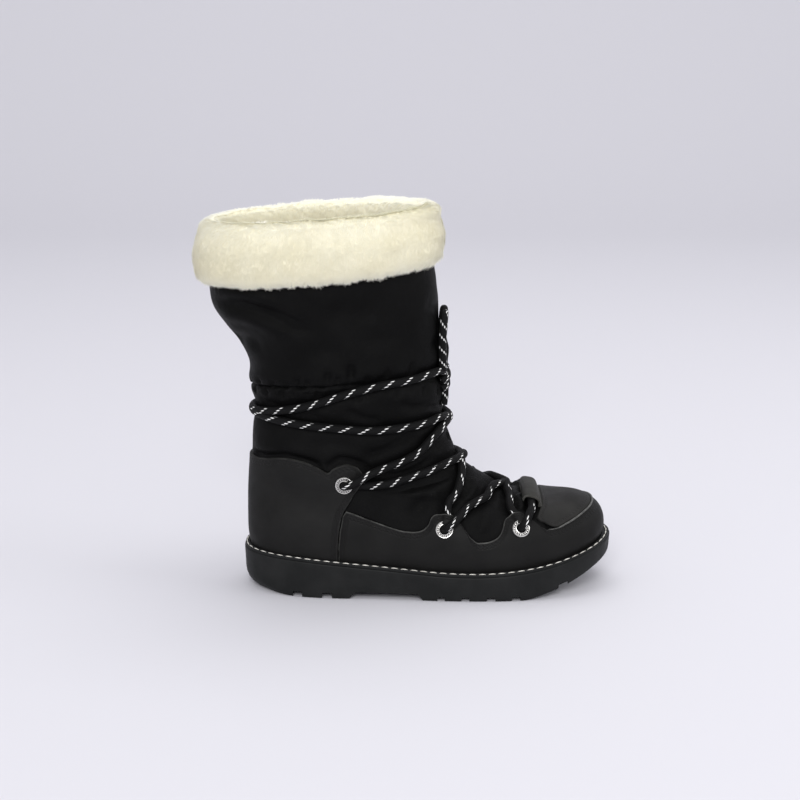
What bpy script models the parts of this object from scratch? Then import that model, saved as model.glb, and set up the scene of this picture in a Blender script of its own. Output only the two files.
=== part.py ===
"""An apres ski boot for the right foot: a padded nylon shaft with a folded fur cuff, a leather rand,
toe plug and heel counter, a lugged rubber sole with a stitched welt, six eyelets and a round lace.

Axes: +X runs from heel to toe, -Y is the outer (lateral) side, +Z is up. The floor is z = 0, and the
origin lies on the floor under the heel. All sizes are in millimetres until a mesh is made.
"""

import math

import bmesh
import bpy
import numpy as np

MM = 0.001

# Driving sizes
SOLE_LENGTH = 275.0
HEEL_BACK = -52.0  # the sole's rearmost point, so the origin is under the middle of the heel
GAP = 0.4  # between curved pieces that meet
FLAT_GAP = 0.3  # between faces that lie on each other

UPPER_WALL = 3.0
RAND_THICK = 1.6
COUNTER_THICK = 2.2
PLUG_THICK = 1.7
PLUG_GAP = 0.7
KEEPER_THICK = 1.4
KEEPER_BACK_GAP = 0.9  # over the hollow where the instep begins
INSOLE_THICK = 4.0
INSOLE_CLEAR = 1.2  # from the upper's inner wall to the insole

WELT_THICK = 2.5
WELT_CLEAR = GAP + COUNTER_THICK + GAP  # from the upper to the welt's inner edge
WELT_INSET = 0.8  # from the sole's edge to the welt's
WELT_LEVEL = 0.3  # the welt's top on the upper's levels

LACE_D = 6.0
LACE_SIDES = 6
LACE_STEP = 11.5  # between the rings of a lace tube
LACE_LIFT = LACE_D / 2 + 0.6  # lace centre over the nylon
LACE_OVER_EYELET = 7.9  # lace centre over the upper where it crosses an eyelet

EYELET_OUTER_R = 6.6
EYELET_HOLE_R = 3.3
EYELET_THICK = 1.5
EYELET_SEGMENTS = 12

# Lugs under the sole: depth of the grooves between them and where each groove begins and ends
GROOVE_WIDTH_Y = 130.0
HEEL_GROOVE_DEPTH = 4.2
BALL_GROOVE_DEPTH = 3.0
GROOVES = (
    # from x, to x, depth
    (37.3, 44.8, HEEL_GROOVE_DEPTH),
    (58.9, 66.9, HEEL_GROOVE_DEPTH),
    (143.7, 150.0, BALL_GROOVE_DEPTH),
    (161.3, 168.1, BALL_GROOVE_DEPTH),
    (179.9, 187.2, BALL_GROOVE_DEPTH),
    (198.5, 205.5, BALL_GROOVE_DEPTH),
)
TOE_GROOVE = (237.0, 8.0)  # the middle of the groove on the toe spring, and its width
ARCH_START = (79.0, 83.0)  # where the arch leaves the floor and where it reaches its height
ARCH_END = (129.5, 134.0)
ARCH_HEIGHT = 5.0

# Mesh density
SIDE_COLUMNS = 18
PLAIN_LEVELS = (14, 16, 18, 20)  # levels of the shaft that need no ring of their own
END_CROWDING = 0.42  # how much closer the columns lie at the heel and the toe
SOLE_COLUMNS = 24
RAND_ROWS = 5  # on the upper's own levels, as far as they reach below the rand's top edge
RAND_ROW_LEAST = 0.15
RAND_LEAN_OVER = 0.08  # around, where its columns turn upright after the counter's slanted edge
PLUG_COLUMNS = 15
PLUG_ROWS = 7
SHARP_ANGLE = 40.0
CURVED_STEP = 0.029  # around, between the columns of a leather piece at the heel and the toe
STRAIGHT_STEP = 0.075
HEEL_CURVE_UNTIL = 0.24
TOE_CURVE_FROM = 0.8

SOLE_TOP_ROUND = 0.8
RAND_BEHIND_GAP = 0.0018  # around, between the counter's front edge and the rand
SEAM_GAP = 0.06  # in levels, between the rand and the toe plug
EYELET_SEAT = 0.3

# The top face of the sole: distance from the heel's back edge, height above the floor
SOLE_TOP = (
    # x, z
    (-4.0, 30.4),
    (20.0, 28.9),
    (45.0, 27.6),
    (66.0, 26.0),
    (88.0, 24.0),
    (125.0, 20.8),
    (146.0, 19.2),
    (172.0, 18.4),
    (204.0, 20.4),
    (232.0, 25.0),
    (256.0, 31.4),
    (279.0, 39.0),
)

# How far the sole reaches out from the upper's lowest ring, from the back seam round to the front
SOLE_LEDGE = (
    # around, ledge
    (0.0, 7.5),
    (0.12, 6.6),
    (0.25, 6.2),
    (0.5, 7.4),
    (0.75, 7.4),
    (0.9, 8.2),
    (1.0, 11.0),
)

# The sole's underside: distance from the heel's back edge, height of the lugs, and how far in and
# how high the side is rounded
SOLE_UNDER = (
    # x, z, round in, round up
    (0.0, 0.0, 9.5, 11.5),
    (14.0, 0.0, 8.0, 9.0),
    (28.0, 0.0, 3.2, 4.0),
    (42.0, 0.0, 1.2, 1.6),
    (160.0, 0.0, 1.2, 1.6),
    (206.0, 0.0, 1.4, 1.8),
    (222.0, 3.0, 2.4, 2.4),
    (236.0, 7.4, 2.8, 2.6),
    (250.0, 13.0, 3.2, 3.0),
    (262.0, 18.4, 3.6, 3.4),
    (276.0, 24.6, 4.0, 3.6),
)

# The upper's rings from the featherline up to the collar. Back and front are its points on the
# centre line, lateral and medial its half widths, widest the share of its length where it is widest,
# back_full and front_full how square its ends are, waist its pinch under the arch, toe_in the shift
# of its front towards the big toe, and follow how far it dips and rises with the sole.
SECTION_COLUMNS = (
    "back_x",
    "back_z",
    "front_x",
    "front_z",
    "lateral",
    "medial",
    "widest",
    "back_full",
    "front_full",
    "waist",
    "toe_in",
    "follow",
)
SECTIONS = (
    (7.5, 30.2, 264.0, 34.2, 45.0, 45.0, 0.66, 2.65, 2.50, 0.10, 5.0, 1.00),
    (5.6, 42.0, 268.2, 44.0, 47.0, 46.5, 0.65, 2.65, 2.55, 0.09, 5.0, 0.85),
    (5.4, 55.0, 266.8, 53.0, 46.0, 45.5, 0.62, 2.62, 2.60, 0.08, 5.0, 0.60),
    (5.5, 66.0, 261.4, 59.4, 42.5, 43.0, 0.56, 2.55, 2.50, 0.05, 5.0, 0.40),
    (5.8, 76.0, 252.5, 63.0, 39.0, 40.0, 0.47, 2.45, 2.20, 0.02, 4.6, 0.20),
    (6.3, 85.0, 238.0, 64.9, 36.8, 38.0, 0.40, 2.35, 2.05, 0.00, 4.2, 0.10),
    (6.9, 93.0, 221.0, 66.4, 36.6, 37.4, 0.37, 2.25, 1.98, 0.00, 3.6, 0.00),
    (7.3, 100.0, 203.0, 71.0, 36.8, 37.2, 0.38, 2.20, 1.95, 0.00, 3.0, 0.00),
    (7.6, 107.0, 187.0, 78.4, 37.0, 37.0, 0.39, 2.15, 1.95, 0.00, 2.4, 0.00),
    (7.8, 114.0, 173.0, 85.6, 37.1, 37.0, 0.41, 2.12, 1.98, 0.00, 1.8, 0.00),
    (8.2, 122.0, 162.5, 96.0, 37.3, 37.0, 0.44, 2.10, 2.02, 0.00, 1.2, 0.00),
    (8.9, 131.0, 155.5, 108.5, 37.8, 37.4, 0.47, 2.10, 2.06, 0.00, 0.8, 0.00),
    (9.4, 141.0, 151.0, 124.0, 38.5, 38.0, 0.49, 2.10, 2.10, 0.00, 0.4, 0.00),
    (9.0, 150.0, 148.0, 141.0, 39.5, 39.0, 0.50, 2.10, 2.12, 0.00, 0.0, 0.00),
    (7.0, 160.0, 146.3, 158.0, 40.5, 40.0, 0.50, 2.10, 2.14, 0.00, 0.0, 0.00),
    (5.6, 173.0, 145.5, 174.0, 42.0, 41.5, 0.50, 2.10, 2.16, 0.00, 0.0, 0.00),
    (-0.6, 187.0, 145.0, 189.0, 43.5, 43.0, 0.50, 2.10, 2.18, 0.00, 0.0, 0.00),
    (-9.8, 200.0, 145.0, 203.0, 45.0, 44.5, 0.50, 2.10, 2.18, 0.00, 0.0, 0.00),
    (-18.5, 213.0, 144.6, 217.0, 46.0, 45.6, 0.50, 2.12, 2.18, 0.00, 0.0, 0.00),
    (-21.5, 226.0, 142.5, 231.0, 46.8, 46.4, 0.50, 2.15, 2.18, 0.00, 0.0, 0.00),
    (-22.0, 245.0, 141.0, 252.0, 47.2, 46.8, 0.50, 2.15, 2.18, 0.00, 0.0, 0.00),
    (-22.0, 268.0, 140.5, 279.0, 47.2, 46.8, 0.50, 2.15, 2.18, 0.00, 0.0, 0.00),
)
WAIST_AT = 0.38
WAIST_SPREAD = 0.17

# Edges of the leather and the fur on the upper's surface, from the back seam to the front centre
# line. The inner side mirrors the outer side, at 2 - around.
COUNTER_TOP = (
    # around, level
    (0.0, 7.15),
    (0.06, 7.2),
    (0.113, 7.5),
    (0.169, 8.0),
    (0.237, 8.33),
    (0.294, 8.17),
    (0.319, 7.83),
    (0.338, 7.55),
    (0.369, 8.05),
    (0.412, 8.67),
    (0.452, 8.98),
    (0.478, 8.75),
)
COUNTER_FRONT = (
    # level, around
    (0.0, 0.272),
    (1.0, 0.275),
    (2.0, 0.281),
    (3.0, 0.294),
    (4.5, 0.340),
    (6.0, 0.394),
    (7.2, 0.444),
    (8.2, 0.476),
    (8.75, 0.478),
)
RAND_TOP = (
    # around, level
    (0.309, 3.42),
    (0.324, 3.32),
    (0.345, 3.14),
    (0.375, 2.83),
    (0.412, 2.48),
    (0.444, 2.33),
    (0.466, 2.34),
    (0.487, 2.50),
    (0.506, 2.86),
    (0.522, 3.33),
    (0.538, 3.62),
    (0.556, 3.70),
    (0.574, 3.66),
    (0.586, 3.45),
    (0.591, 2.95),
    (0.595, 2.40),
    (0.603, 2.06),
    (0.625, 1.90),
    (0.648, 2.00),
    (0.668, 2.25),
    (0.688, 2.75),
    (0.706, 3.25),
    (0.728, 3.55),
    (0.750, 3.70),
    (0.766, 3.60),
    (0.774, 3.25),
    (0.778, 2.80),
    (0.783, 2.48),
    (0.795, 2.36),
    (0.810, 2.34),
    (0.838, 2.47),
    (0.869, 2.65),
    (0.900, 2.85),
    (0.933, 3.05),
    (0.966, 3.22),
    (1.0, 3.28),
)
SEAM_FROM = 0.790  # around, where the toe plug meets the rand
PLUG_BACK_X = 221.6

CUFF_BOTTOM = (
    # around, level
    (0.0, 19.10),
    (0.5, 19.30),
    (1.0, 19.66),
)
CUFF_GAP = 0.6
# The fur's cross-section: its reach out from the upper, on the outside, over the rim and inside
CUFF_OUTSIDE = (
    # share of the height from its lower edge to the rim, reach out
    (-0.02, 3.5),
    (0.03, 9.0),
    (0.22, 12.2),
    (0.60, 13.0),
    (1.0, 11.6),
)
CUFF_OVER = (
    # lift over the rim, reach out
    (8.0, 7.0),
    (11.8, 1.0),
    (11.8, -4.5),
    (8.0, -10.0),
)
CUFF_INSIDE = (
    # level, reach out
    (20.8, -12.4),
    (19.6, -12.0),
    (18.9, -8.0),
    (18.8, -4.0),
)
CUFF_FRONT_SLIMMER = 0.24  # the fur stands out this share less at the front

EYELETS = (
    # name, around, level, leather under it
    ("heel", 0.362, 6.33, COUNTER_THICK),
    ("waist", 0.542, 2.62, RAND_THICK),
    ("ball", 0.729, 2.62, RAND_THICK),
)

# The loop on the vamp that the front bar of the lace runs through, in section from front to back
KEEPER_MIDDLE_X = 213.4
KEEPER_INSIDE = (
    # x, out
    (221.0, GAP),
    (218.4, GAP),
    (218.0, 4.0),
    (216.4, 6.6),
    (213.4, 7.5),
    (210.4, 6.6),
    (208.8, 4.0),
    (208.4, KEEPER_BACK_GAP),
)
KEEPER_OUTSIDE = (
    # x, out
    (221.0, GAP + KEEPER_THICK),
    (219.9, GAP + KEEPER_THICK),
    (219.4, 4.6),
    (217.3, 7.8),
    (213.4, 8.9),
    (209.5, 7.8),
    (207.4, 4.6),
    (207.0, KEEPER_BACK_GAP),
)
KEEPER_ENDS = (0.850, 1.122)
KEEPER_COLUMNS = 7

# Lace routes on the upper, each point its place around, its level and its height over the upper
BAR_HALF = (
    (0.729, 2.62, LACE_OVER_EYELET),
    (0.757, 3.10, LACE_OVER_EYELET),
    (0.781, 3.55, 7.0),
    (0.808, 4.00, 4.8),
)
BAR_UNDER_KEEPER = (0.845, 0.88, 0.92, 0.96, 1.0)  # around
BALL_TO_CROSSING = (
    (0.744, 4.15, LACE_LIFT),
    (0.800, 5.00, LACE_LIFT),
    (0.919, 6.75, LACE_LIFT),
    (1.0, 7.55, LACE_LIFT),
)
CROSSING_TO_WAIST = (
    (0.906, 7.45, LACE_LIFT),
    (0.769, 5.83, LACE_LIFT),
    (0.675, 4.70, LACE_LIFT),
    (0.632, 4.05, 5.0),
    (0.595, 3.45, 7.2),
    (0.542, 2.62, LACE_OVER_EYELET),
)
WAIST_TO_CROSSING = (
    (0.588, 4.20, LACE_LIFT),
    (0.625, 5.00, LACE_LIFT),
    (0.719, 6.50, LACE_LIFT),
    (0.875, 8.78, LACE_LIFT),
    (0.944, 9.68, LACE_LIFT + 0.9),
    (1.0, 10.25, LACE_LIFT + 0.5),
)
CROSSING_TO_HEEL = (
    (0.881, 9.95, LACE_LIFT),
    (0.794, 9.45, LACE_LIFT),
    (0.694, 8.70, LACE_LIFT),
    (0.606, 7.90, LACE_LIFT),
    (0.540, 7.30, LACE_LIFT),
    (0.480, 6.82, LACE_LIFT),
    (0.442, 6.50, LACE_LIFT),
)
HEEL_TO_FRONT = (
    (0.362, 6.33, LACE_OVER_EYELET),
    (0.405, 6.90, LACE_OVER_EYELET),
    (0.445, 7.45, 7.6),
    (0.480, 7.95, 6.8),
    (0.520, 8.42, 5.0),
    (0.581, 9.05, LACE_LIFT),
    (0.688, 9.95, LACE_LIFT),
    (0.769, 10.67, LACE_LIFT),
    (0.838, 11.40, LACE_LIFT),
    (0.900, 11.95, LACE_LIFT),
    (1.0, 12.40, LACE_LIFT),
)
LOWER_WRAP = (
    (0.906, 12.50, LACE_LIFT),
    (0.844, 12.33, LACE_LIFT),
    (0.713, 12.00, LACE_LIFT),
    (0.556, 11.70, LACE_LIFT),
    (0.469, 11.65, LACE_LIFT),
    (0.306, 11.50, LACE_LIFT),
    (0.175, 11.42, LACE_LIFT),
    (0.075, 11.40, LACE_LIFT + 0.3),
    (0.0, 11.48, LACE_LIFT + 0.5),
)
UPPER_WRAP = (
    (0.075, 11.58, LACE_LIFT + 0.3),
    (0.181, 12.00, LACE_LIFT),
    (0.338, 12.83, LACE_LIFT),
    (0.481, 13.60, LACE_LIFT),
    (0.631, 14.12, LACE_LIFT),
    (0.781, 14.33, LACE_LIFT),
    (0.894, 14.52, LACE_LIFT),
    (0.962, 14.60, LACE_LIFT + 0.6),
)
KNOT_AT = (1.0, 14.60, 4.9)
KNOT_HALF = (4.6, 6.2, 8.0)  # half its depth, width and height
BOW_LOOP = (
    (0.982, 15.20, 5.0),
    (0.962, 15.70, 4.4),
    (0.945, 16.50, LACE_LIFT),
    (0.940, 17.15, LACE_LIFT),
    (0.952, 17.55, LACE_LIFT),
    (0.970, 17.62, LACE_LIFT),
    (0.984, 17.25, 4.0),
    (0.983, 16.50, 4.6),
    (0.978, 15.80, 5.4),
)
LACE_END = (
    (0.984, 13.95, 4.4),
    (0.974, 13.70, 4.0),
    (0.962, 13.35, LACE_LIFT),
    (0.956, 13.00, LACE_LIFT),
)
BOW_STEP = 9.0  # between the points of the bow's loops and ends


def curve_through(knots, values, at):
    """A smooth curve through values at the knots, read at the points in at (a cubic Hermite spline)."""
    knots = np.asarray(knots, float)
    values = np.asarray(values, float)
    at = np.clip(np.asarray(at, float), knots[0], knots[-1])
    slopes = np.gradient(values, knots, axis=0)
    step = np.diff(knots)
    rise = np.diff(values, axis=0) / (step if values.ndim == 1 else step[:, None])
    flat = rise[:-1] * rise[1:] <= 0
    slopes[1:-1][flat] = 0.0
    cell = np.clip(np.searchsorted(knots, at, side="right") - 1, 0, len(knots) - 2)
    width = step[cell]
    u = (at - knots[cell]) / width
    if values.ndim > 1:
        u, width = u[..., None], width[..., None]
    low, high = values[cell], values[cell + 1]
    return (
        low * (1 + 2 * u) * (1 - u) ** 2
        + slopes[cell] * width * u * (1 - u) ** 2
        + high * u * u * (3 - 2 * u)
        + slopes[cell + 1] * width * u * u * (u - 1)
    )


def sole_top(x):
    """Height of the sole's top face at a distance x from the heel's back edge."""
    table = np.array(SOLE_TOP)
    return curve_through(table[:, 0], table[:, 1], x)


class UpperForm:
    """The upper's outer surface, worked out from SECTIONS.

    around runs from 0 at the back seam over the outer side (0.5) to 1 at the front centre line, and on
    over the inner side (1.5) to 2. level runs from 0 at the featherline to the last row of SECTIONS.
    """

    FINE_LEVELS = 6  # levels worked out between two rows
    FINE_SIDE = 160  # points worked out along each side of a ring

    def __init__(self):
        table = np.array(SECTIONS)
        self.top = len(table) - 1
        self.levels = np.linspace(0, self.top, self.top * self.FINE_LEVELS + 1)
        rows = curve_through(np.arange(len(table)), table, self.levels)
        self.points = np.array([self.ring(dict(zip(SECTION_COLUMNS, row))) for row in rows])
        along = np.gradient(self.points, axis=1)
        seam = self.points[:, 1] - self.points[:, -2]
        along[:, 0] = along[:, -1] = seam / 2
        upward = np.gradient(self.points, axis=0)
        normal = np.cross(along, upward)
        self.normals = normal / np.linalg.norm(normal, axis=2, keepdims=True)

    def side(self, row, sign, half_width, turn):
        """One side of a ring, from back to front; sign is -1 for the outer side."""
        cosine = np.cos(turn)
        sine = np.sin(turn)
        full = np.where(cosine > 0, row["back_full"], row["front_full"])
        reach = np.abs(cosine) ** (2 / full)
        width = np.abs(sine) ** (2 / full)
        widest = row["widest"]
        share = np.where(cosine > 0, widest * (1 - reach), widest + (1 - widest) * reach)
        pinch = 1 - row["waist"] * np.exp(-(((share - WAIST_AT) / WAIST_SPREAD) ** 2))
        x = row["back_x"] + share * (row["front_x"] - row["back_x"])
        y = sign * half_width * width * pinch + row["toe_in"] * share**2
        first = SECTIONS[0]
        first_share = (x - first[0]) / (first[2] - first[0])
        dip = sole_top(x) + FLAT_GAP - (first[1] + first_share * (first[3] - first[1]))
        z = row["back_z"] + share * (row["front_z"] - row["back_z"]) + row["follow"] * dip
        return np.stack([x, y, z], axis=1)

    def ring(self, row):
        """A ring's points, evenly spaced along each side, from the back seam round to it again."""
        turn = np.linspace(0, math.pi, 4 * self.FINE_SIDE)
        sides = []
        for sign, width in ((-1, row["lateral"]), (1, row["medial"])):
            line = self.side(row, sign, width, turn)
            run = np.concatenate([[0], np.cumsum(np.linalg.norm(np.diff(line, axis=0), axis=1))])
            even = np.linspace(0, run[-1], self.FINE_SIDE + 1)
            sides.append(np.stack([np.interp(even, run, line[:, k]) for k in range(3)], axis=1))
        return np.concatenate([sides[0], sides[1][::-1][1:]])

    def at(self, around, level, out=0.0):
        """Points on the surface, out millimetres off it."""
        around = np.asarray(around, float) % 2.0
        level = np.clip(np.asarray(level, float), 0, self.top)
        around, level = np.broadcast_arrays(around, level)
        column = around * self.FINE_SIDE
        line = level * self.FINE_LEVELS
        c = np.minimum(column.astype(int), 2 * self.FINE_SIDE - 1)
        r = np.minimum(line.astype(int), len(self.levels) - 2)
        u = (column - c)[..., None]
        v = (line - r)[..., None]

        def blend(field):
            low = field[r, c] * (1 - u) + field[r, c + 1] * u
            high = field[r + 1, c] * (1 - u) + field[r + 1, c + 1] * u
            return low * (1 - v) + high * v

        normal = blend(self.normals)
        normal = normal / np.linalg.norm(normal, axis=-1, keepdims=True)
        return blend(self.points) + normal * np.asarray(out, float)[..., None]

    def seated(self, around, level, out):
        """Points as at() gives them, but never lower than the gap over the sole's top face."""
        points = self.at(around, level, out)
        points[..., 2] = np.maximum(points[..., 2], sole_top(points[..., 0]) + FLAT_GAP)
        return points

    def level_at_x(self, around, x):
        """The level over the toes where the surface reaches x on the line around."""
        levels = np.linspace(2, 12, 201)
        return float(np.interp(-x, -self.at(around, levels)[:, 0], levels))


def table_curve(table, at):
    """Reads a table of two columns as a smooth curve."""
    table = np.array(table)
    return curve_through(table[:, 0], table[:, 1], at)


def refined(table):
    """A table's places and values, with more of them between where the heel or the toe curves."""
    table = np.array(table)
    places = []
    for start, end in zip(table[:-1, 0], table[1:, 0]):
        curved = start < HEEL_CURVE_UNTIL or end > TOE_CURVE_FROM
        pieces = math.ceil((end - start) / (CURVED_STEP if curved else STRAIGHT_STEP))
        places.extend(np.linspace(start, end, pieces, endpoint=False))
    places.append(table[-1, 0])
    return np.column_stack([places, curve_through(table[:, 0], table[:, 1], places)])


def mirrored(route):
    """The same route on the other side of the boot."""
    return tuple((2.0 - around, level, out) for around, level, out in route)


def columns(side_columns=SIDE_COLUMNS):
    """Places around the upper where its mesh has columns, closer together at the heel and the toe."""
    even = np.linspace(0, 2, 2 * side_columns + 1)[:-1]
    return even - END_CROWDING * np.sin(2 * math.pi * even) / (2 * math.pi)


def placed(points):
    """Millimetres from the heel's back edge turned into metres in the boot's own frame."""
    return (np.asarray(points, float) + (HEEL_BACK, 0.0, 0.0)) * MM


def new_object(name, mesh, material):
    """Adds a mesh to the scene as a named object with its material."""
    obj = bpy.data.objects.new(name, mesh)
    bpy.context.scene.collection.objects.link(obj)
    mesh.materials.append(material)
    return obj


def mesh_object(name, points, faces, material):
    """A closed mesh with its faces turned outwards."""
    bm = bmesh.new()
    corners = [bm.verts.new(p) for p in placed(points)]
    for face in faces:
        bm.faces.new([corners[k] for k in face])
    bmesh.ops.recalc_face_normals(bm, faces=bm.faces)
    mesh = bpy.data.meshes.new(name)
    bm.to_mesh(mesh)
    bm.free()
    mesh.shade_smooth()
    mesh.set_sharp_from_angle(angle=math.radians(SHARP_ANGLE))
    return new_object(name, mesh, material)


def ring_faces(rings, size, closed):
    """Faces between rings of points that follow each other, the last and the first too if closed."""
    faces = []
    for r in range(rings if closed else rings - 1):
        low = r * size
        high = (r + 1) % rings * size
        for k in range(size):
            after = (k + 1) % size
            faces.append((low + k, low + after, high + after, high + k))
    return faces


def strip_faces(first, side):
    """Faces across a ring of 2 * side points, from its outer side to its inner side."""
    size = 2 * side
    faces = [(first, first + 1, first + size - 1)]
    for k in range(1, side - 1):
        faces.append((first + k, first + k + 1, first + size - k - 1, first + size - k))
    faces.append((first + side - 1, first + side, first + side + 1))
    return faces


def loft(name, rings, material):
    """One closed mesh through rings of points, the last ring joined to the first."""
    points = np.concatenate(rings)
    return mesh_object(name, points, ring_faces(len(rings), len(rings[0]), True), material)


def tube(name, path, material):
    """A round bar of the lace's thickness along a path, with flat ends."""
    path = np.asarray(path)
    run = np.gradient(path, axis=0)
    run = run / np.linalg.norm(run, axis=1, keepdims=True)
    side = np.cross(run[0], (0.0, 0.0, 1.0))
    turn = np.linspace(0, 2 * math.pi, LACE_SIDES, endpoint=False)
    rings = []
    for point, forward in zip(path, run):
        side = side - forward * np.dot(side, forward)
        side = side / np.linalg.norm(side)
        up = np.cross(forward, side)
        circle = np.outer(np.cos(turn), side) + np.outer(np.sin(turn), up)
        rings.append(point + circle * LACE_D / 2)
    last = (len(rings) - 1) * LACE_SIDES
    faces = ring_faces(len(rings), LACE_SIDES, False)
    faces.append(tuple(range(LACE_SIDES)))
    faces.append(tuple(range(last, last + LACE_SIDES)))
    return mesh_object(name, np.concatenate(rings), faces, material)


def sheet(name, inside, outside, material):
    """A curved plate between two grids of points, closed round its four edges."""
    rows, across = inside.shape[:2]
    points = np.concatenate([inside.reshape(-1, 3), outside.reshape(-1, 3)])
    half = rows * across
    faces = []
    for r in range(rows - 1):
        for k in range(across - 1):
            quad = (r * across + k, r * across + k + 1, (r + 1) * across + k + 1, (r + 1) * across + k)
            faces.append(quad)
            faces.append(tuple(half + corner for corner in quad))
    edge = [k for k in range(across)]
    edge += [r * across + across - 1 for r in range(1, rows)]
    edge += [(rows - 1) * across + k for k in range(across - 2, -1, -1)]
    edge += [r * across for r in range(rows - 2, 0, -1)]
    for a, b in zip(edge, edge[1:] + edge[:1]):
        faces.append((a, b, half + b, half + a))
    return mesh_object(name, points, faces, material)


def finish(name, colour, roughness, metallic=0.0):
    """A plain material with the part's colour, roughness and metallic value."""
    material = bpy.data.materials.new(name)
    material.use_nodes = True
    shader = material.node_tree.nodes["Principled BSDF"]
    shader.inputs["Base Color"].default_value = (*colour, 1.0)
    shader.inputs["Roughness"].default_value = roughness
    shader.inputs["Metallic"].default_value = metallic
    return material


def helper(obj):
    """Marks an object that only shapes another, so that it is neither rendered nor a piece."""
    obj.hide_render = True
    obj.display_type = "WIRE"
    return obj


def shape_with(obj, other, operation):
    """Cuts an object with another, or joins the other to it."""
    modifier = obj.modifiers.new(operation.lower(), "BOOLEAN")
    modifier.operation = operation
    modifier.object = helper(other)


def sole_outline(form, inset):
    """The sole's edge seen from above: up the outer side to the toe and back on the inner side."""
    around = columns(SOLE_COLUMNS)
    ring = form.at(around, 0.0)[:, :2]
    along = form.at(around + 0.01, 0.0)[:, :2] - form.at(around - 0.01, 0.0)[:, :2]
    outward = np.stack([along[:, 1], -along[:, 0]], axis=1)
    outward = outward / np.linalg.norm(outward, axis=1, keepdims=True)
    outward = outward * np.sign((outward * (ring - ring.mean(axis=0))).sum(axis=1))[:, None]
    ledge = table_curve(SOLE_LEDGE, np.minimum(around, 2 - around))
    return ring + outward * (ledge - inset)[:, None]


def sole_body(form, material):
    """The sole before its grooves are cut."""
    edge = sole_outline(form, 0.0)
    x = np.clip(edge[:, 0], 0.0, SOLE_LENGTH)
    under = np.array(SOLE_UNDER)
    bottom, round_in, round_up = (curve_through(under[:, 0], under[:, k], x) for k in (1, 2, 3))
    bottom = np.maximum(bottom, 0.0)
    top = sole_top(edge[:, 0])
    rings = [
        np.column_stack([sole_outline(form, SOLE_TOP_ROUND), top]),
        np.column_stack([edge, top - SOLE_TOP_ROUND]),
        np.column_stack([sole_outline(form, 0.6), bottom + round_up]),
        np.column_stack([sole_outline(form, 0.6 + round_in * 0.35), bottom + round_up * 0.42]),
        np.column_stack([sole_outline(form, 0.6 + round_in), bottom]),
    ]
    size = len(edge)
    faces = ring_faces(len(rings), size, False)
    faces += strip_faces(0, SOLE_COLUMNS)
    faces += strip_faces((len(rings) - 1) * size, SOLE_COLUMNS)
    return mesh_object("outsole", np.concatenate(rings), faces, material)


def prism(name, side_view, material):
    """A bar right across the sole, of the outline that side_view gives in x and z."""
    half = GROOVE_WIDTH_Y / 2
    count = len(side_view)
    points = [(x, -half, z) for x, z in side_view] + [(x, half, z) for x, z in side_view]
    faces = [tuple(range(count)), tuple(range(count, 2 * count))]
    for k in range(count):
        after = (k + 1) % count
        faces.append((k, after, count + after, count + k))
    return mesh_object(name, points, faces, material)


def make_outsole(form, material):
    """The rubber sole, its grooves and its arch."""
    sole = sole_body(form, material)
    below = -5.0
    for n, (start, end, depth) in enumerate(GROOVES):
        outline = ((start, below), (end, below), (end, depth), (start, depth))
        shape_with(sole, prism(f"groove_{n + 1}", outline, material), "DIFFERENCE")
    arch = (
        (ARCH_START[0] - 4.0, below),
        (ARCH_END[1] + 4.0, below),
        (ARCH_END[1], 0.0),
        (ARCH_END[0], ARCH_HEIGHT),
        (ARCH_START[1], ARCH_HEIGHT),
        (ARCH_START[0], 0.0),
    )
    shape_with(sole, prism("arch", arch, material), "DIFFERENCE")
    middle, width = TOE_GROOVE
    x = np.array([middle - width / 2, middle + width / 2])
    under = np.array(SOLE_UNDER)
    z = curve_through(under[:, 0], under[:, 1], x)
    toe = ((x[0], z[0] - 8), (x[1], z[1] - 8), (x[1], z[1] + 3.2), (x[0], z[0] + 3.8))
    shape_with(sole, prism("toe_groove", toe, material), "DIFFERENCE")


def make_welt(form, material):
    """The strip that the stitches hold, lying on the sole's edge round the upper."""
    around = columns(SOLE_COLUMNS)
    outer = sole_outline(form, WELT_INSET)
    crown = sole_outline(form, WELT_INSET + 0.7)
    inner = form.at(around, WELT_LEVEL, WELT_CLEAR)[:, :2]
    rings = []
    for edge, height in ((inner, 0.0), (outer, 0.0), (outer, 0.65), (crown, 1.0), (inner, 1.0)):
        z = sole_top(edge[:, 0]) + FLAT_GAP + WELT_THICK * height
        rings.append(np.column_stack([edge, z]))
    return loft("welt", rings, material)


def make_insole(form, material):
    """The footbed inside the upper, lying on the sole."""
    around = columns()
    out = -(UPPER_WALL + INSOLE_CLEAR)
    low = form.at(around, 0.0, out)
    low[:, 2] = sole_top(low[:, 0]) + FLAT_GAP
    high = form.at(around, WELT_LEVEL, out)
    high[:, 2] = sole_top(high[:, 0]) + FLAT_GAP + INSOLE_THICK
    size = len(around)
    faces = ring_faces(2, size, False) + strip_faces(0, SIDE_COLUMNS) + strip_faces(size, SIDE_COLUMNS)
    return mesh_object("insole", np.concatenate([low, high]), faces, material)


def make_upper(form, material):
    """The shaft and vamp: one hollow wall, open at the collar and underneath."""
    around = columns()
    levels = [level for level in range(form.top + 1) if level not in PLAIN_LEVELS]
    outer = [form.seated(around, level, 0.0) for level in levels]
    inner = [form.seated(around, level, -UPPER_WALL) for level in reversed(levels)]
    return loft("upper", outer + inner, material)


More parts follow.
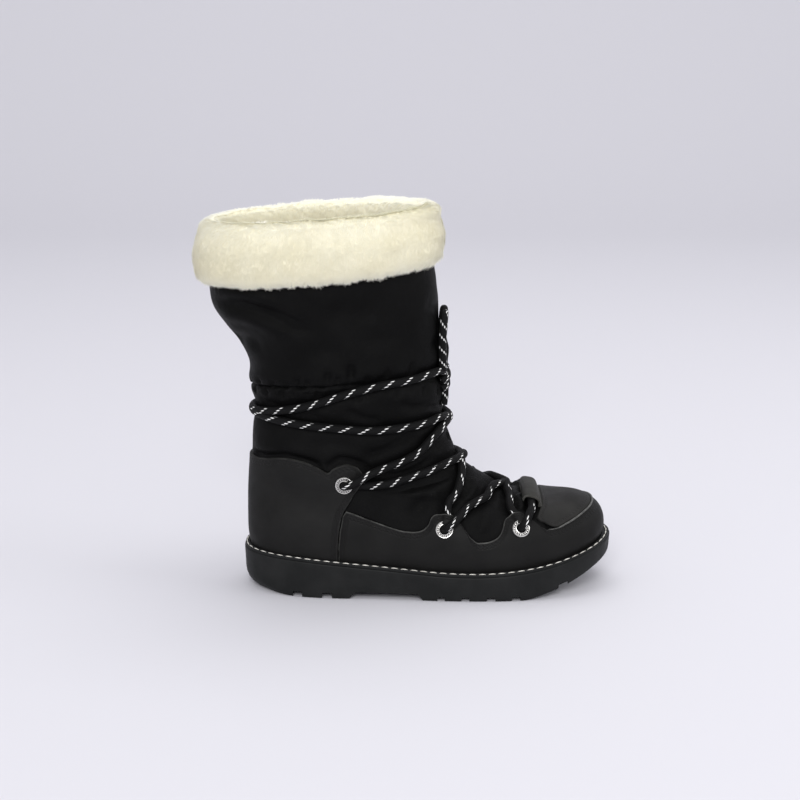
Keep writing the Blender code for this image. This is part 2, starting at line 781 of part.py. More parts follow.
def make_counter(form, material):
    """The leather round the heel, with a tab at each side that carries the heel eyelet."""
    top = refined(COUNTER_TOP)
    front = np.array(COUNTER_FRONT)
    share_up = front[:, 0] / front[-1, 0]
    lean = (front[:, 1] - front[0, 1]) / (front[-1, 1] - front[0, 1])
    around = []
    level = []
    for place, height in np.concatenate([top[::-1] * (-1, 1), top[1:]]):
        foot = place * front[0, 1] / front[-1, 1]
        around.append(foot + (place - foot) * lean)
        level.append(share_up * height)
    around, level = np.array(around), np.array(level)
    inside = form.seated(around, level, GAP)
    outside = form.seated(around, level, GAP + COUNTER_THICK)
    return sheet("heel_counter", inside, outside, material)


def make_rand(form, material):
    """The leather round the foot from the counter to the toe, with its eyelet tabs."""
    top = refined(RAND_TOP)
    top = np.concatenate([top, (top * (-1, 1) + (2, 0))[::-1][1:]])
    back = np.array(COUNTER_FRONT)
    rows = np.arange(RAND_ROWS)
    around = []
    level = []
    for place, height in top:
        heights = np.minimum(rows, height - RAND_ROW_LEAST * rows[::-1])
        side = min(place, 2 - place)
        edge = np.interp(heights, back[:, 0], back[:, 1]) + RAND_BEHIND_GAP
        lean = max(0.0, 1 - (side - RAND_TOP[0][0]) / RAND_LEAN_OVER)
        line = side + lean * (edge - RAND_TOP[0][0])
        around.append(line if place <= 1 else 2 - line)
        level.append(heights)
    around, level = np.array(around), np.array(level)
    inside = form.seated(around, level, GAP)
    outside = form.seated(around, level, GAP + RAND_THICK)
    return sheet("toe_rand", inside, outside, material)


def make_plug(form, material):
    """The leather on the toe inside the raised seam."""
    around = np.linspace(SEAM_FROM, 2 - SEAM_FROM, PLUG_COLUMNS)
    seam = table_curve(RAND_TOP, np.minimum(around, 2 - around)) + SEAM_GAP
    back = np.array([form.level_at_x(place, PLUG_BACK_X) for place in around])
    back = np.maximum(back, seam + 0.05)
    share = np.linspace(0, 1, PLUG_ROWS)
    level = seam[:, None] + share * (back - seam)[:, None]
    around = np.repeat(around[:, None], PLUG_ROWS, axis=1)
    inside = form.at(around, level, PLUG_GAP)
    outside = form.at(around, level, PLUG_GAP + PLUG_THICK)
    return sheet("toe_plug", inside, outside, material)


def make_keeper(form, material):
    """The leather loop on the vamp."""
    places = np.linspace(*KEEPER_ENDS, KEEPER_COLUMNS)

    def grid(section):
        rows = []
        for place in places:
            levels = [form.level_at_x(place, x) for x, _ in section]
            rows.append(form.at(place, levels, [out for _, out in section]))
        return np.array(rows)

    return sheet("vamp_loop", grid(KEEPER_INSIDE), grid(KEEPER_OUTSIDE), material)


def make_cuff(form, material):
    """The folded fur: down the outside, over the rim and down the inside of the collar."""
    around = columns()
    side = np.minimum(around, 2 - around)
    bottom = table_curve(CUFF_BOTTOM, side)
    fuller = 1 - CUFF_FRONT_SLIMMER * side**2
    rings = [form.at(around, bottom, CUFF_GAP)]
    for share, out in CUFF_OUTSIDE:
        rings.append(form.at(around, bottom + share * (form.top - bottom), out * fuller))
    for lift, out in CUFF_OVER:
        rings.append(form.at(around, form.top, out) + (0, 0, lift))
    for level, out in CUFF_INSIDE:
        rings.append(form.at(around, level, out))
    clear = -UPPER_WALL - CUFF_GAP
    rings.append(form.at(around, form.top, clear) + (0, 0, CUFF_GAP))
    rings.append(form.at(around, form.top, CUFF_GAP) + (0, 0, CUFF_GAP))
    return loft("fur_cuff", rings, material)


def make_eyelets(form, material):
    """Three rings on each side, flat on the leather."""
    section = ((EYELET_HOLE_R, 0.0), (EYELET_OUTER_R, 0.0), (EYELET_OUTER_R - 0.6, EYELET_THICK))
    section += ((EYELET_HOLE_R + 0.5, EYELET_THICK),)
    turn = np.linspace(0, 2 * math.pi, EYELET_SEGMENTS, endpoint=False)
    for name, around, level, leather in EYELETS:
        for side, place in (("outer", around), ("inner", 2 - around)):
            base = form.at(place, level, GAP + leather + EYELET_SEAT)
            axis = form.at(place, level, GAP + leather + EYELET_SEAT + 1.0) - base
            across = np.cross(axis, (0.0, 0.0, 1.0))
            across = across / np.linalg.norm(across)
            up = np.cross(across, axis)
            rings = []
            for radius, height in section:
                circle = np.outer(np.cos(turn), across) + np.outer(np.sin(turn), up)
                rings.append(base + axis * height + circle * radius)
            loft(f"eyelet_{name}_{side}", rings, material)


def lace_path(form, route, step):
    """Points a step apart along a smooth curve through a route on the upper."""
    route = np.array(route)
    rough = form.at(route[:, 0], route[:, 1], route[:, 2])
    knots = np.concatenate([[0], np.cumsum(np.linalg.norm(np.diff(rough, axis=0), axis=1))])
    fine = curve_through(knots, route, np.linspace(0, knots[-1], 40 * len(route)))
    fine = form.at(fine[:, 0], fine[:, 1], fine[:, 2])
    run = np.concatenate([[0], np.cumsum(np.linalg.norm(np.diff(fine, axis=0), axis=1))])
    even = np.linspace(0, run[-1], max(4, round(run[-1] / step) + 1))
    return np.stack([np.interp(even, run, fine[:, k]) for k in range(3)], axis=1)


def make_lace(form, material):
    """The lace's bar and its three crossings on the upper."""
    places = BAR_UNDER_KEEPER + tuple(2.0 - place for place in reversed(BAR_UNDER_KEEPER[:-1]))
    under = tuple((place, form.level_at_x(place, KEEPER_MIDDLE_X), LACE_LIFT) for place in places)
    bar = BAR_HALF + under + mirrored(BAR_HALF)[::-1]
    tube("lace_bar", lace_path(form, bar, LACE_STEP), material)
    crossings = (
        ("lace_cross_ball", BALL_TO_CROSSING + mirrored(CROSSING_TO_WAIST)),
        ("lace_cross_waist", WAIST_TO_CROSSING + mirrored(CROSSING_TO_HEEL)),
    )
    for name, route in crossings:
        cross(name, form, route, material)
    wrap = HEEL_TO_FRONT + mirrored(LOWER_WRAP)
    wrap += tuple((2.0 + around, level, out) for around, level, out in UPPER_WRAP)
    cross("lace_wrap", form, wrap, material)


def cross(name, form, route, material):
    """A strand and its mirror image, joined where they cross."""
    strand = tube(name, lace_path(form, route, LACE_STEP), material)
    other = tube(name + "_mirror", lace_path(form, mirrored(route), LACE_STEP), material)
    shape_with(strand, other, "UNION")


def cord(name, path, material):
    """A free length of lace as a curve with a round bevel."""
    curve = bpy.data.curves.new(name, "CURVE")
    curve.dimensions = "3D"
    curve.bevel_depth = LACE_D / 2 * MM
    curve.bevel_resolution = 2
    curve.use_fill_caps = True
    spline = curve.splines.new("POLY")
    spline.points.add(len(path) - 1)
    for point, place in zip(spline.points, placed(path)):
        point.co = (*place, 1.0)
    return new_object(name, curve, material)


def make_bow(form, material):
    """The knot on the front of the shaft, its two loops and the lace's two ends."""
    middle = form.at(*KNOT_AT)
    levels = 7
    turn = np.linspace(0, 2 * math.pi, 10, endpoint=False)
    points = [middle - (0, 0, KNOT_HALF[2])]
    for tilt in np.linspace(-math.pi / 2, math.pi / 2, levels)[1:-1]:
        for angle in turn:
            across = math.cos(tilt)
            ball = np.array((math.cos(angle) * across, math.sin(angle) * across, math.sin(tilt)))
            points.append(middle + ball * KNOT_HALF)
    points.append(middle + (0, 0, KNOT_HALF[2]))
    size = len(turn)
    faces = [tuple(1 + k for k in quad) for quad in ring_faces(levels - 2, size, False)]
    last = len(points) - 1
    for k in range(size):
        faces.append((0, 1 + k, 1 + (k + 1) % size))
        faces.append((last, last - 1 - k, last - 1 - (k + 1) % size))
    mesh_object("lace_knot", np.array(points), faces, material)
    for name, route in (("loop", BOW_LOOP), ("end", LACE_END)):
        cord(f"lace_{name}_outer", lace_path(form, route, BOW_STEP), material)
        cord(f"lace_{name}_inner", lace_path(form, mirrored(route), BOW_STEP), material)


def main():
    """Builds the boot, piece by piece."""
    for obj in list(bpy.data.objects):
        bpy.data.objects.remove(obj)
    form = UpperForm()
    nylon = finish("nylon", (0.012, 0.012, 0.013), 0.55)
    leather = finish("leather", (0.017, 0.016, 0.015), 0.62)
    rubber = finish("rubber", (0.021, 0.023, 0.023), 0.6)
    footbed = finish("footbed", (0.30, 0.28, 0.24), 0.9)
    fur = finish("fur", (0.80, 0.74, 0.58), 0.95)
    metal = finish("metal", (0.72, 0.72, 0.71), 0.3, 1.0)
    cord_black = finish("cord", (0.02, 0.02, 0.02), 0.7)
    make_outsole(form, rubber)
    make_welt(form, rubber)
    make_insole(form, footbed)
    make_upper(form, nylon)
    make_counter(form, leather)
    make_rand(form, leather)
    make_plug(form, leather)
    make_keeper(form, leather)
    make_cuff(form, fur)
    make_eyelets(form, metal)
    make_lace(form, cord_black)
    make_bow(form, cord_black)


if __name__ == "__main__":
    main()
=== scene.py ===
"""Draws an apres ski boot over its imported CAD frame, for a render at the photograph's angle.

The boot is a right one: its outer side faces -Y, its toe +X and its sole stands on the floor at z = 0.
Sizes in the tables are millimetres, with x measured from the back edge of the heel.
"""

import logging
import math
from dataclasses import dataclass
from enum import Enum

import bmesh
import bpy
import numpy as np
from mathutils import Matrix, Vector
from mathutils.kdtree import KDTree


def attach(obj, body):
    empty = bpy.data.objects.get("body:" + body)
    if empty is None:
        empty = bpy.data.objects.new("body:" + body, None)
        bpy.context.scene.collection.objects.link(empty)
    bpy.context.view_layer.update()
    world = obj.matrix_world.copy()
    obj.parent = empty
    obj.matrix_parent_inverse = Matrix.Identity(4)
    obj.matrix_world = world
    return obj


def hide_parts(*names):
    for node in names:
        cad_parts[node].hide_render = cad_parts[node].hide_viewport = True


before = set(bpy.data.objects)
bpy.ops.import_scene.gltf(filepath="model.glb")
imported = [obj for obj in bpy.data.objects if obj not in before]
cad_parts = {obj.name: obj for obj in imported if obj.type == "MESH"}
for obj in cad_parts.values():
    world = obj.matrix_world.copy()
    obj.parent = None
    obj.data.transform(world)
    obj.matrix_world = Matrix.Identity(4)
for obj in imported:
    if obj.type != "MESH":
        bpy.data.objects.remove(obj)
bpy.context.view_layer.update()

logging.basicConfig(level=logging.INFO, format="%(message)s")
LOG = logging.getLogger("boot")

MM = 0.001
HEEL_BACK = -52.0  # x of the heel's back edge in the frame
BODY = "root"
RANDOM_SEED = 7

GAP = 0.3
UPPER_WALL = 3.0
LEATHER_GAP = 0.3
RAND_THICK = 1.6
COUNTER_THICK = 2.2
PLUG_GAP = 0.7
PLUG_THICK = 1.7
LACE_D = 6.0
LACE_PITCH = 28.0  # along the lace, for one turn of its white yarns
BOW_PITCH = 19.0  # the same where it is tied
LACE_REST = 1.3  # height of the lace's middle over the nylon
OVER_STRAND = 2.1  # how much higher a strand runs where it crosses another
OVER_STRAND_REACH = 8.0
OVER_RING = 6.8  # height of the lace's middle where it runs over an eyelet
IN_HOLE = 1.6  # the same where it ends in an eyelet's hole
KNOT_D = 5.3
TOE_FULLEST = 247.0  # x where the leather is puffed out most over the toes
TOE_PUFF = 2.6
TOE_PUFF_REACH = (14.0, 34.0)  # along the foot and across it
PLUG_START = 0.79  # place around where the toe plug begins
PLUG_BACK = 222.5  # x up to which the toe plug covers the nylon

Route = tuple[tuple[float, float, float], ...]
Table = tuple[tuple[float, float], ...]

# The top face of the sole: x, height
SOLE_TOP: Table = (
    (-4.0, 30.4), (20.0, 28.9), (45.0, 27.6), (66.0, 26.0), (88.0, 24.0), (125.0, 20.8), (146.0, 19.2),
    (172.0, 18.4), (204.0, 20.4), (232.0, 25.0), (256.0, 31.4), (279.0, 39.0),
)

# The upper's rings from the featherline to the collar: back x and z, front x and z, half width on
# the outer and the inner side, where it is widest, how square its back and its front are, its pinch
# at the waist, its lean towards the big toe, and how far it follows the sole
SECTIONS = (
    (7.5, 30.2, 264.0, 34.2, 45.0, 45.0, 0.66, 2.65, 2.50, 0.10, 5.0, 1.00),
    (5.6, 42.0, 268.2, 44.0, 47.0, 46.5, 0.65, 2.65, 2.55, 0.09, 5.0, 0.85),
    (5.4, 55.0, 266.8, 53.0, 46.0, 45.5, 0.62, 2.62, 2.60, 0.08, 5.0, 0.60),
    (5.5, 66.0, 261.4, 59.4, 42.5, 43.0, 0.56, 2.55, 2.50, 0.05, 5.0, 0.40),
    (5.8, 76.0, 252.5, 63.0, 39.0, 40.0, 0.47, 2.45, 2.20, 0.02, 4.6, 0.20),
    (6.3, 85.0, 238.0, 64.9, 36.8, 38.0, 0.40, 2.35, 2.05, 0.00, 4.2, 0.10),
    (6.9, 93.0, 221.0, 66.4, 36.6, 37.4, 0.37, 2.25, 1.98, 0.00, 3.6, 0.00),
    (7.3, 100.0, 203.0, 71.0, 36.8, 37.2, 0.38, 2.20, 1.95, 0.00, 3.0, 0.00),
    (7.6, 107.0, 187.0, 78.4, 37.0, 37.0, 0.39, 2.15, 1.95, 0.00, 2.4, 0.00),
    (7.8, 114.0, 173.0, 85.6, 37.1, 37.0, 0.41, 2.12, 1.98, 0.00, 1.8, 0.00),
    (8.2, 122.0, 162.5, 96.0, 37.3, 37.0, 0.44, 2.10, 2.02, 0.00, 1.2, 0.00),
    (8.9, 131.0, 155.5, 108.5, 37.8, 37.4, 0.47, 2.10, 2.06, 0.00, 0.8, 0.00),
    (9.4, 141.0, 151.0, 124.0, 38.5, 38.0, 0.49, 2.10, 2.10, 0.00, 0.4, 0.00),
    (9.0, 150.0, 148.0, 141.0, 39.5, 39.0, 0.50, 2.10, 2.12, 0.00, 0.0, 0.00),
    (7.0, 160.0, 146.3, 158.0, 40.5, 40.0, 0.50, 2.10, 2.14, 0.00, 0.0, 0.00),
    (5.6, 173.0, 145.5, 174.0, 42.0, 41.5, 0.50, 2.10, 2.16, 0.00, 0.0, 0.00),
    (-0.6, 187.0, 145.0, 189.0, 43.5, 43.0, 0.50, 2.10, 2.18, 0.00, 0.0, 0.00),
    (-9.8, 200.0, 145.0, 203.0, 45.0, 44.5, 0.50, 2.10, 2.18, 0.00, 0.0, 0.00),
    (-18.5, 213.0, 144.6, 217.0, 46.0, 45.6, 0.50, 2.12, 2.18, 0.00, 0.0, 0.00),
    (-21.5, 226.0, 142.5, 231.0, 46.8, 46.4, 0.50, 2.15, 2.18, 0.00, 0.0, 0.00),
    (-22.0, 245.0, 141.0, 252.0, 47.2, 46.8, 0.50, 2.15, 2.18, 0.00, 0.0, 0.00),
    (-22.0, 268.0, 140.5, 279.0, 47.2, 46.8, 0.50, 2.15, 2.18, 0.00, 0.0, 0.00),
)

# Edges on the upper's surface: around, level
COUNTER_TOP: Table = (
    (0.0, 7.15), (0.06, 7.2), (0.113, 7.5), (0.169, 8.0), (0.237, 8.33), (0.294, 8.17), (0.319, 7.83),
    (0.338, 7.55), (0.369, 8.05), (0.412, 8.67), (0.452, 8.98), (0.478, 8.75),
)
# level, around
COUNTER_FRONT: Table = (
    (0.0, 0.272), (1.0, 0.275), (2.0, 0.281), (3.0, 0.294), (4.5, 0.340), (6.0, 0.394), (7.2, 0.444),
    (8.2, 0.476), (8.75, 0.478),
)
RAND_TOP: Table = (
    (0.309, 3.42), (0.324, 3.32), (0.345, 3.14), (0.375, 2.83), (0.412, 2.48), (0.444, 2.33),
    (0.466, 2.34), (0.487, 2.50), (0.506, 2.86), (0.522, 3.33), (0.538, 3.62), (0.556, 3.70),
    (0.574, 3.66), (0.586, 3.45), (0.591, 2.95), (0.595, 2.40), (0.603, 2.06), (0.625, 1.90),
    (0.648, 2.00), (0.668, 2.25), (0.688, 2.75), (0.706, 3.25), (0.728, 3.55), (0.750, 3.70),
    (0.766, 3.60), (0.774, 3.25), (0.778, 2.80), (0.783, 2.48), (0.795, 2.36), (0.810, 2.34),
    (0.838, 2.47), (0.869, 2.65), (0.900, 2.85), (0.933, 3.05), (0.966, 3.22), (1.0, 3.28),
)


def curve_through(knots: np.ndarray, values: np.ndarray, at: np.ndarray) -> np.ndarray:
    """Reads a smooth curve through values at the knots (a cubic Hermite spline).

    Args:
        knots: Where the values hold, rising.
        values: One value or row of values for each knot.
        at: Where the curve is read.

    Returns:
        The curve's values at the places asked for.
    """
    knots = np.asarray(knots, float)
    values = np.asarray(values, float)
    at = np.clip(np.asarray(at, float), knots[0], knots[-1])
    slopes = np.gradient(values, knots, axis=0)
    step = np.diff(knots)
    rise = np.diff(values, axis=0) / (step if values.ndim == 1 else step[:, None])
    flat = rise[:-1] * rise[1:] <= 0
    slopes[1:-1][flat] = 0.0
    cell = np.clip(np.searchsorted(knots, at, side="right") - 1, 0, len(knots) - 2)
    width = step[cell]
    u = (at - knots[cell]) / width
    if values.ndim > 1:
        u, width = u[..., None], width[..., None]
    low, high = values[cell], values[cell + 1]
    return (
        low * (1 + 2 * u) * (1 - u) ** 2
        + slopes[cell] * width * u * (1 - u) ** 2
        + high * u * u * (3 - 2 * u)
        + slopes[cell + 1] * width * u * u * (u - 1)
    )


def table_curve(table: Table, at: np.ndarray) -> np.ndarray:
    """Reads a table of two columns as a smooth curve."""
    rows = np.array(table)
    return curve_through(rows[:, 0], rows[:, 1], at)


def sole_top(x: np.ndarray) -> np.ndarray:
    """Height of the sole's top face at a distance x from the heel's back edge."""
    return table_curve(SOLE_TOP, x)


def placed(points: np.ndarray) -> np.ndarray:
    """Millimetres from the heel's back edge turned into metres in the frame."""
    return (np.asarray(points, float) + (HEEL_BACK, 0.0, 0.0)) * MM


def smooth_step(low: float, high: float, value: np.ndarray) -> np.ndarray:
    """0 below low, 1 above high and a soft rise between them."""
    share = np.clip((value - low) / (high - low), 0.0, 1.0)
    return share * share * (3 - 2 * share)


def bell(distance: np.ndarray, width: float) -> np.ndarray:
    """1 at distance 0, falling softly to nothing on both sides."""
    return np.exp(-((distance / width) ** 2))


def unit(vectors: np.ndarray) -> np.ndarray:
    """Vectors of length one."""
    length = np.linalg.norm(vectors, axis=-1, keepdims=True)
    return vectors / np.maximum(length, 1e-9)


def run_of(points: np.ndarray) -> np.ndarray:
    """Distance along a line of points, from its start to each of them."""
    steps = np.linalg.norm(np.diff(points, axis=0), axis=1)
    return np.concatenate([[0.0], np.cumsum(steps)])


def resampled(points: np.ndarray, count: int) -> np.ndarray:
    """The same line with a number of evenly spaced points."""
    run = run_of(points)
    even = np.linspace(0, run[-1], count)
    return np.stack([np.interp(even, run, points[:, k]) for k in range(3)], axis=1)


def smooth_line(points: np.ndarray, count: int) -> np.ndarray:
    """A smooth curve through a line of points, read at a number of places."""
    run = run_of(points)
    return curve_through(run, points, np.linspace(0, run[-1], count))


def ring_normals(points: np.ndarray) -> np.ndarray:
    """The directions straight off a grid whose rows are closed rings."""
    along = np.gradient(points, axis=1)
    along[:, 0] = along[:, -1] = (points[:, 1] - points[:, -2]) / 2
    return unit(np.cross(along, np.gradient(points, axis=0)))


def read_grid(field: np.ndarray, row: np.ndarray, column: np.ndarray) -> np.ndarray:
    """A grid of rows and columns of points, read at places between them."""
    r = np.minimum(row.astype(int), field.shape[0] - 2)
    c = np.minimum(column.astype(int), field.shape[1] - 2)
    u = (column - c)[..., None]
    v = (row - r)[..., None]
    low = field[r, c] * (1 - u) + field[r, c + 1] * u
    high = field[r + 1, c] * (1 - u) + field[r + 1, c + 1] * u
    return low * (1 - v) + high * v


def grid_run(points: np.ndarray, axis: int) -> np.ndarray:
    """Distance from a grid's first row (axis 0) or column (axis 1) to each of its points."""
    steps = np.linalg.norm(np.diff(points, axis=axis), axis=2)
    return np.insert(np.cumsum(steps, axis=axis), 0, 0.0, axis=axis)


class Last:
    """The shape that the upper is built over, read as places on its surface.

    around runs from 0 at the back seam over the outer side to 1 at the front centre line and on over
    the inner side to 2. level runs from 0 at the featherline to the last row of SECTIONS.
    """

    FINE_LEVELS = 10
    FINE_SIDE = 240
    WAIST_AT = 0.38
    WAIST_SPREAD = 0.17

    def __init__(self) -> None:
        table = np.array(SECTIONS)
        self.top = len(table) - 1
        self.levels = np.linspace(0, self.top, self.top * self.FINE_LEVELS + 1)
        rows = curve_through(np.arange(len(table)), table, self.levels)
        self.points = np.array([self._ring(row) for row in rows])
        self.normals = ring_normals(self.points)

    def _side(self, row: np.ndarray, sign: int, half: float, turn: np.ndarray) -> np.ndarray:
        """One side of a ring, from back to front.

        Args:
            row: The ring's numbers, as in SECTIONS.
            sign: -1 for the outer side, 1 for the inner side.
            half: The ring's half width on that side.
            turn: Angles from the back to the front.

        Returns:
            Points of that side.
        """
        back_x, back_z, front_x, front_z, _, _, widest, back_full, front_full = row[:9]
        pinch_depth, toe_in, follow = row[9:]
        cosine = np.cos(turn)
        full = np.where(cosine > 0, back_full, front_full)
        reach = np.abs(cosine) ** (2 / full)
        width = np.abs(np.sin(turn)) ** (2 / full)
        share = np.where(cosine > 0, widest * (1 - reach), widest + (1 - widest) * reach)
        pinch = 1 - pinch_depth * bell(share - self.WAIST_AT, self.WAIST_SPREAD)
        x = back_x + share * (front_x - back_x)
        y = sign * half * width * pinch + toe_in * share**2
        first = SECTIONS[0]
        first_share = (x - first[0]) / (first[2] - first[0])
        dip = sole_top(x) + GAP - (first[1] + first_share * (first[3] - first[1]))
        z = back_z + share * (front_z - back_z) + follow * dip
        return np.stack([x, y, z], axis=1)

    def _ring(self, row: np.ndarray) -> np.ndarray:
        """A ring's points, evenly spaced along each side, from the back seam round to it again."""
        turn = np.linspace(0, math.pi, 4 * self.FINE_SIDE)
        outer = resampled(self._side(row, -1, row[4], turn), self.FINE_SIDE + 1)
        inner = resampled(self._side(row, 1, row[5], turn), self.FINE_SIDE + 1)
        return np.concatenate([outer, inner[::-1][1:]])

    def _read(self, field: np.ndarray, around: np.ndarray, level: np.ndarray) -> np.ndarray:
        """A field of the surface at places on it."""
        around = np.asarray(around, float) % 2.0
        level = np.clip(np.asarray(level, float), 0, self.top)
        around, level = np.broadcast_arrays(around, level)
        return read_grid(field, level * self.FINE_LEVELS, around * self.FINE_SIDE)

    def normal(self, around: np.ndarray, level: np.ndarray) -> np.ndarray:
        """The direction straight off the surface at places on it."""
        return unit(self._read(self.normals, around, level))

    def at(self, around: np.ndarray, level: np.ndarray, out: np.ndarray = 0.0) -> np.ndarray:
        """Points at places on the surface, out millimetres off it."""
        offset = self.normal(around, level) * np.asarray(out, float)[..., None]
        return self._read(self.points, around, level) + offset

    def seated(self, around: np.ndarray, level: np.ndarray, out: np.ndarray) -> np.ndarray:
        """Points as at() gives them, but never lower than the gap over the sole's top face."""
        points = self.at(around, level, out)
        points[..., 2] = np.maximum(points[..., 2], sole_top(points[..., 0]) + GAP)
        return points

    def level_at_x(self, around: float, x: float) -> float:
        """The level over the toes where the surface reaches x on the line around."""
        levels = np.linspace(2, 12, 201)
        return float(np.interp(-x, -self.at(around, levels)[:, 0], levels))

    def along(self, route: Route, step: float) -> np.ndarray:
        """Points a step apart on a smooth curve through a route over the surface.

        Args:
            route: Places, each around, level and height over the surface.
            step: Distance between the points, in millimetres.

        Returns:
            The points, in millimetres.
        """
        places = np.array(route)
        rough = self.at(places[:, 0], places[:, 1], places[:, 2])
        fine = curve_through(run_of(rough), places, np.linspace(0, run_of(rough)[-1], 40 * len(places)))
        line = self.at(fine[:, 0], fine[:, 1], fine[:, 2])
        return resampled(line, max(4, round(run_of(line)[-1] / step) + 1))


def mirrored(route: Route) -> Route:
    """The same route on the other side of the boot."""
    return tuple((2.0 - place[0], *place[1:]) for place in route)


def both_sides(around: np.ndarray) -> np.ndarray:
    """Places around turned into places on the outer side, which the tables are made for."""
    around = np.asarray(around, float) % 2.0
    return np.minimum(around, 2.0 - around)


# Mesh work shared by the pieces


def grid_mesh(points: np.ndarray, uv: np.ndarray | None = None) -> bmesh.types.BMesh:
    """A grid of faces laid over rows of points.

    Args:
        points: Rows and columns of places in millimetres.
        uv: For each of them its place in the pattern, or None for the share across and up.

    Returns:
        The mesh, in metres and in the frame. Columns run first, so a face points along the cross
        product of the column's and the row's direction.
    """
    rows, columns = points.shape[:2]
    bm = bmesh.new()
    bmesh.ops.create_grid(bm, x_segments=columns - 1, y_segments=rows - 1, size=0.5)
    mesh = bpy.data.meshes.new("grid")
    bm.to_mesh(mesh)
    flat = np.empty(3 * len(mesh.vertices))
    mesh.vertices.foreach_get("co", flat)
    column = np.rint((flat[0::3] + 0.5) * (columns - 1)).astype(int)
    row = np.rint((flat[1::3] + 0.5) * (rows - 1)).astype(int)
    mesh.vertices.foreach_set("co", placed(points)[row, column].ravel())
    corner = np.empty(len(mesh.loops), dtype=np.int32)
    mesh.loops.foreach_get("vertex_index", corner)
    if uv is None:
        across, up = np.meshgrid(np.linspace(0, 1, columns), np.linspace(0, 1, rows))
        uv = np.stack([across, up], axis=-1)
    layer = mesh.uv_layers.new(name="UVMap")
    layer.data.foreach_set("uv", uv[row[corner], column[corner]].ravel())
    bm.clear()
    bm.from_mesh(mesh)
    bpy.data.meshes.remove(mesh)
    return bm


def close_mesh(bm: bmesh.types.BMesh, distance: float = 2e-6) -> bmesh.types.BMesh:
    """Merges the mesh's doubled edges, fills its open ends and turns its faces outwards."""
    bmesh.ops.remove_doubles(bm, verts=bm.verts, dist=distance)
    open_edges = [edge for edge in bm.edges if edge.is_boundary]
    if open_edges:
        bmesh.ops.holes_fill(bm, edges=open_edges, sides=0)
    bmesh.ops.recalc_face_normals(bm, faces=bm.faces)
    return bm


def add_to(bm: bmesh.types.BMesh, other: bmesh.types.BMesh) -> None:
    """Adds another mesh's faces to a mesh and frees the other."""
    mesh = bpy.data.meshes.new("part")
    other.to_mesh(mesh)
    other.free()
    bm.from_mesh(mesh)
    bpy.data.meshes.remove(mesh)


def shell_between(outer: np.ndarray, inner: np.ndarray, uv: np.ndarray) -> bmesh.types.BMesh:
    """A closed plate between two grids of points, joined round their edges.

    Args:
        outer: Rows and columns of the visible face's points.
        inner: The same for the hidden face.
        uv: The visible face's places in the pattern.

    Returns:
        The mesh.
    """
    bm = grid_mesh(outer, uv)
    back = grid_mesh(inner, uv)
    bmesh.ops.reverse_faces(back, faces=back.faces)
    add_to(bm, back)
    open_edges = [edge for edge in bm.edges if edge.is_boundary]
    bmesh.ops.bridge_loops(bm, edges=open_edges)
    bmesh.ops.recalc_face_normals(bm, faces=bm.faces)
    return bm


def tube_mesh(
    path: np.ndarray, radius: np.ndarray, sides: int, pitch: float, outward: np.ndarray | None = None
) -> bmesh.types.BMesh:
    """A round tube along a line of points.

    Args:
        path: The line, in millimetres.
        radius: The tube's radius at each point, or one for all.
        sides: Number of faces round it.
        pitch: Length along it for one unit of its pattern.
        outward: For each point the direction that the middle of its pattern faces, or None.

    Returns:
        The closed mesh. Its UV runs along it and once round it.
    """
    forward = unit(np.gradient(path, axis=0))
    side = np.cross(forward[0], (0.0, 0.0, 1.0))
    if np.linalg.norm(side) < 0.1:
        side = np.cross(forward[0], (0.0, 1.0, 0.0))
    turn = np.linspace(0, math.tau, sides + 1)
    radii = np.broadcast_to(np.asarray(radius, float), (len(path),))
    rows = []
    for k, (point, ahead, r) in enumerate(zip(path, forward, radii)):
        if outward is not None:
            side = -outward[k]
        side = unit(side - ahead * np.dot(side, ahead))
        up = np.cross(ahead, side)
        rows.append(point + (np.outer(np.cos(turn), side) + np.outer(np.sin(turn), up)) * r)
    run = run_of(path) / pitch
    uv = np.stack(np.broadcast_arrays(run[:, None], turn[None, :] / (math.tau)), axis=-1)
    return close_mesh(grid_mesh(np.array(rows), uv))


def cut_caps(bm: bmesh.types.BMesh) -> None:
    """Cuts the faces that fill open ends into triangles."""
    bmesh.ops.triangulate(bm, faces=[face for face in bm.faces if len(face.verts) > 4])


def apply_modifiers(obj: bpy.types.Object) -> None:
    """Bakes an object's modifiers into its mesh."""
    graph = bpy.context.evaluated_depsgraph_get()
    mesh = bpy.data.meshes.new_from_object(obj.evaluated_get(graph))
    obj.modifiers.clear()
    obj.data = mesh


def cut_with(obj: bpy.types.Object, cutters: list[bpy.types.Object]) -> None:
    """Cuts one object with others and removes them."""
    for cutter in cutters:
        modifier = obj.modifiers.new("cut", "BOOLEAN")
        modifier.operation = "DIFFERENCE"
        modifier.object = cutter
    apply_modifiers(obj)
    for cutter in cutters:
        bpy.data.objects.remove(cutter, do_unlink=True)


def in_scene(name: str, data: bpy.types.ID) -> bpy.types.Object:
    """A new object of the scene that holds a mesh, a light or a camera."""
    obj = bpy.data.objects.new(name, data)
    bpy.context.scene.collection.objects.link(obj)
    return obj


def bare_object(name: str, bm: bmesh.types.BMesh) -> bpy.types.Object:
    """A mesh put in the scene as a named object, without a body yet."""
    mesh = bpy.data.meshes.new(name)
    bm.to_mesh(mesh)
    bm.free()
    return in_scene(name, mesh)


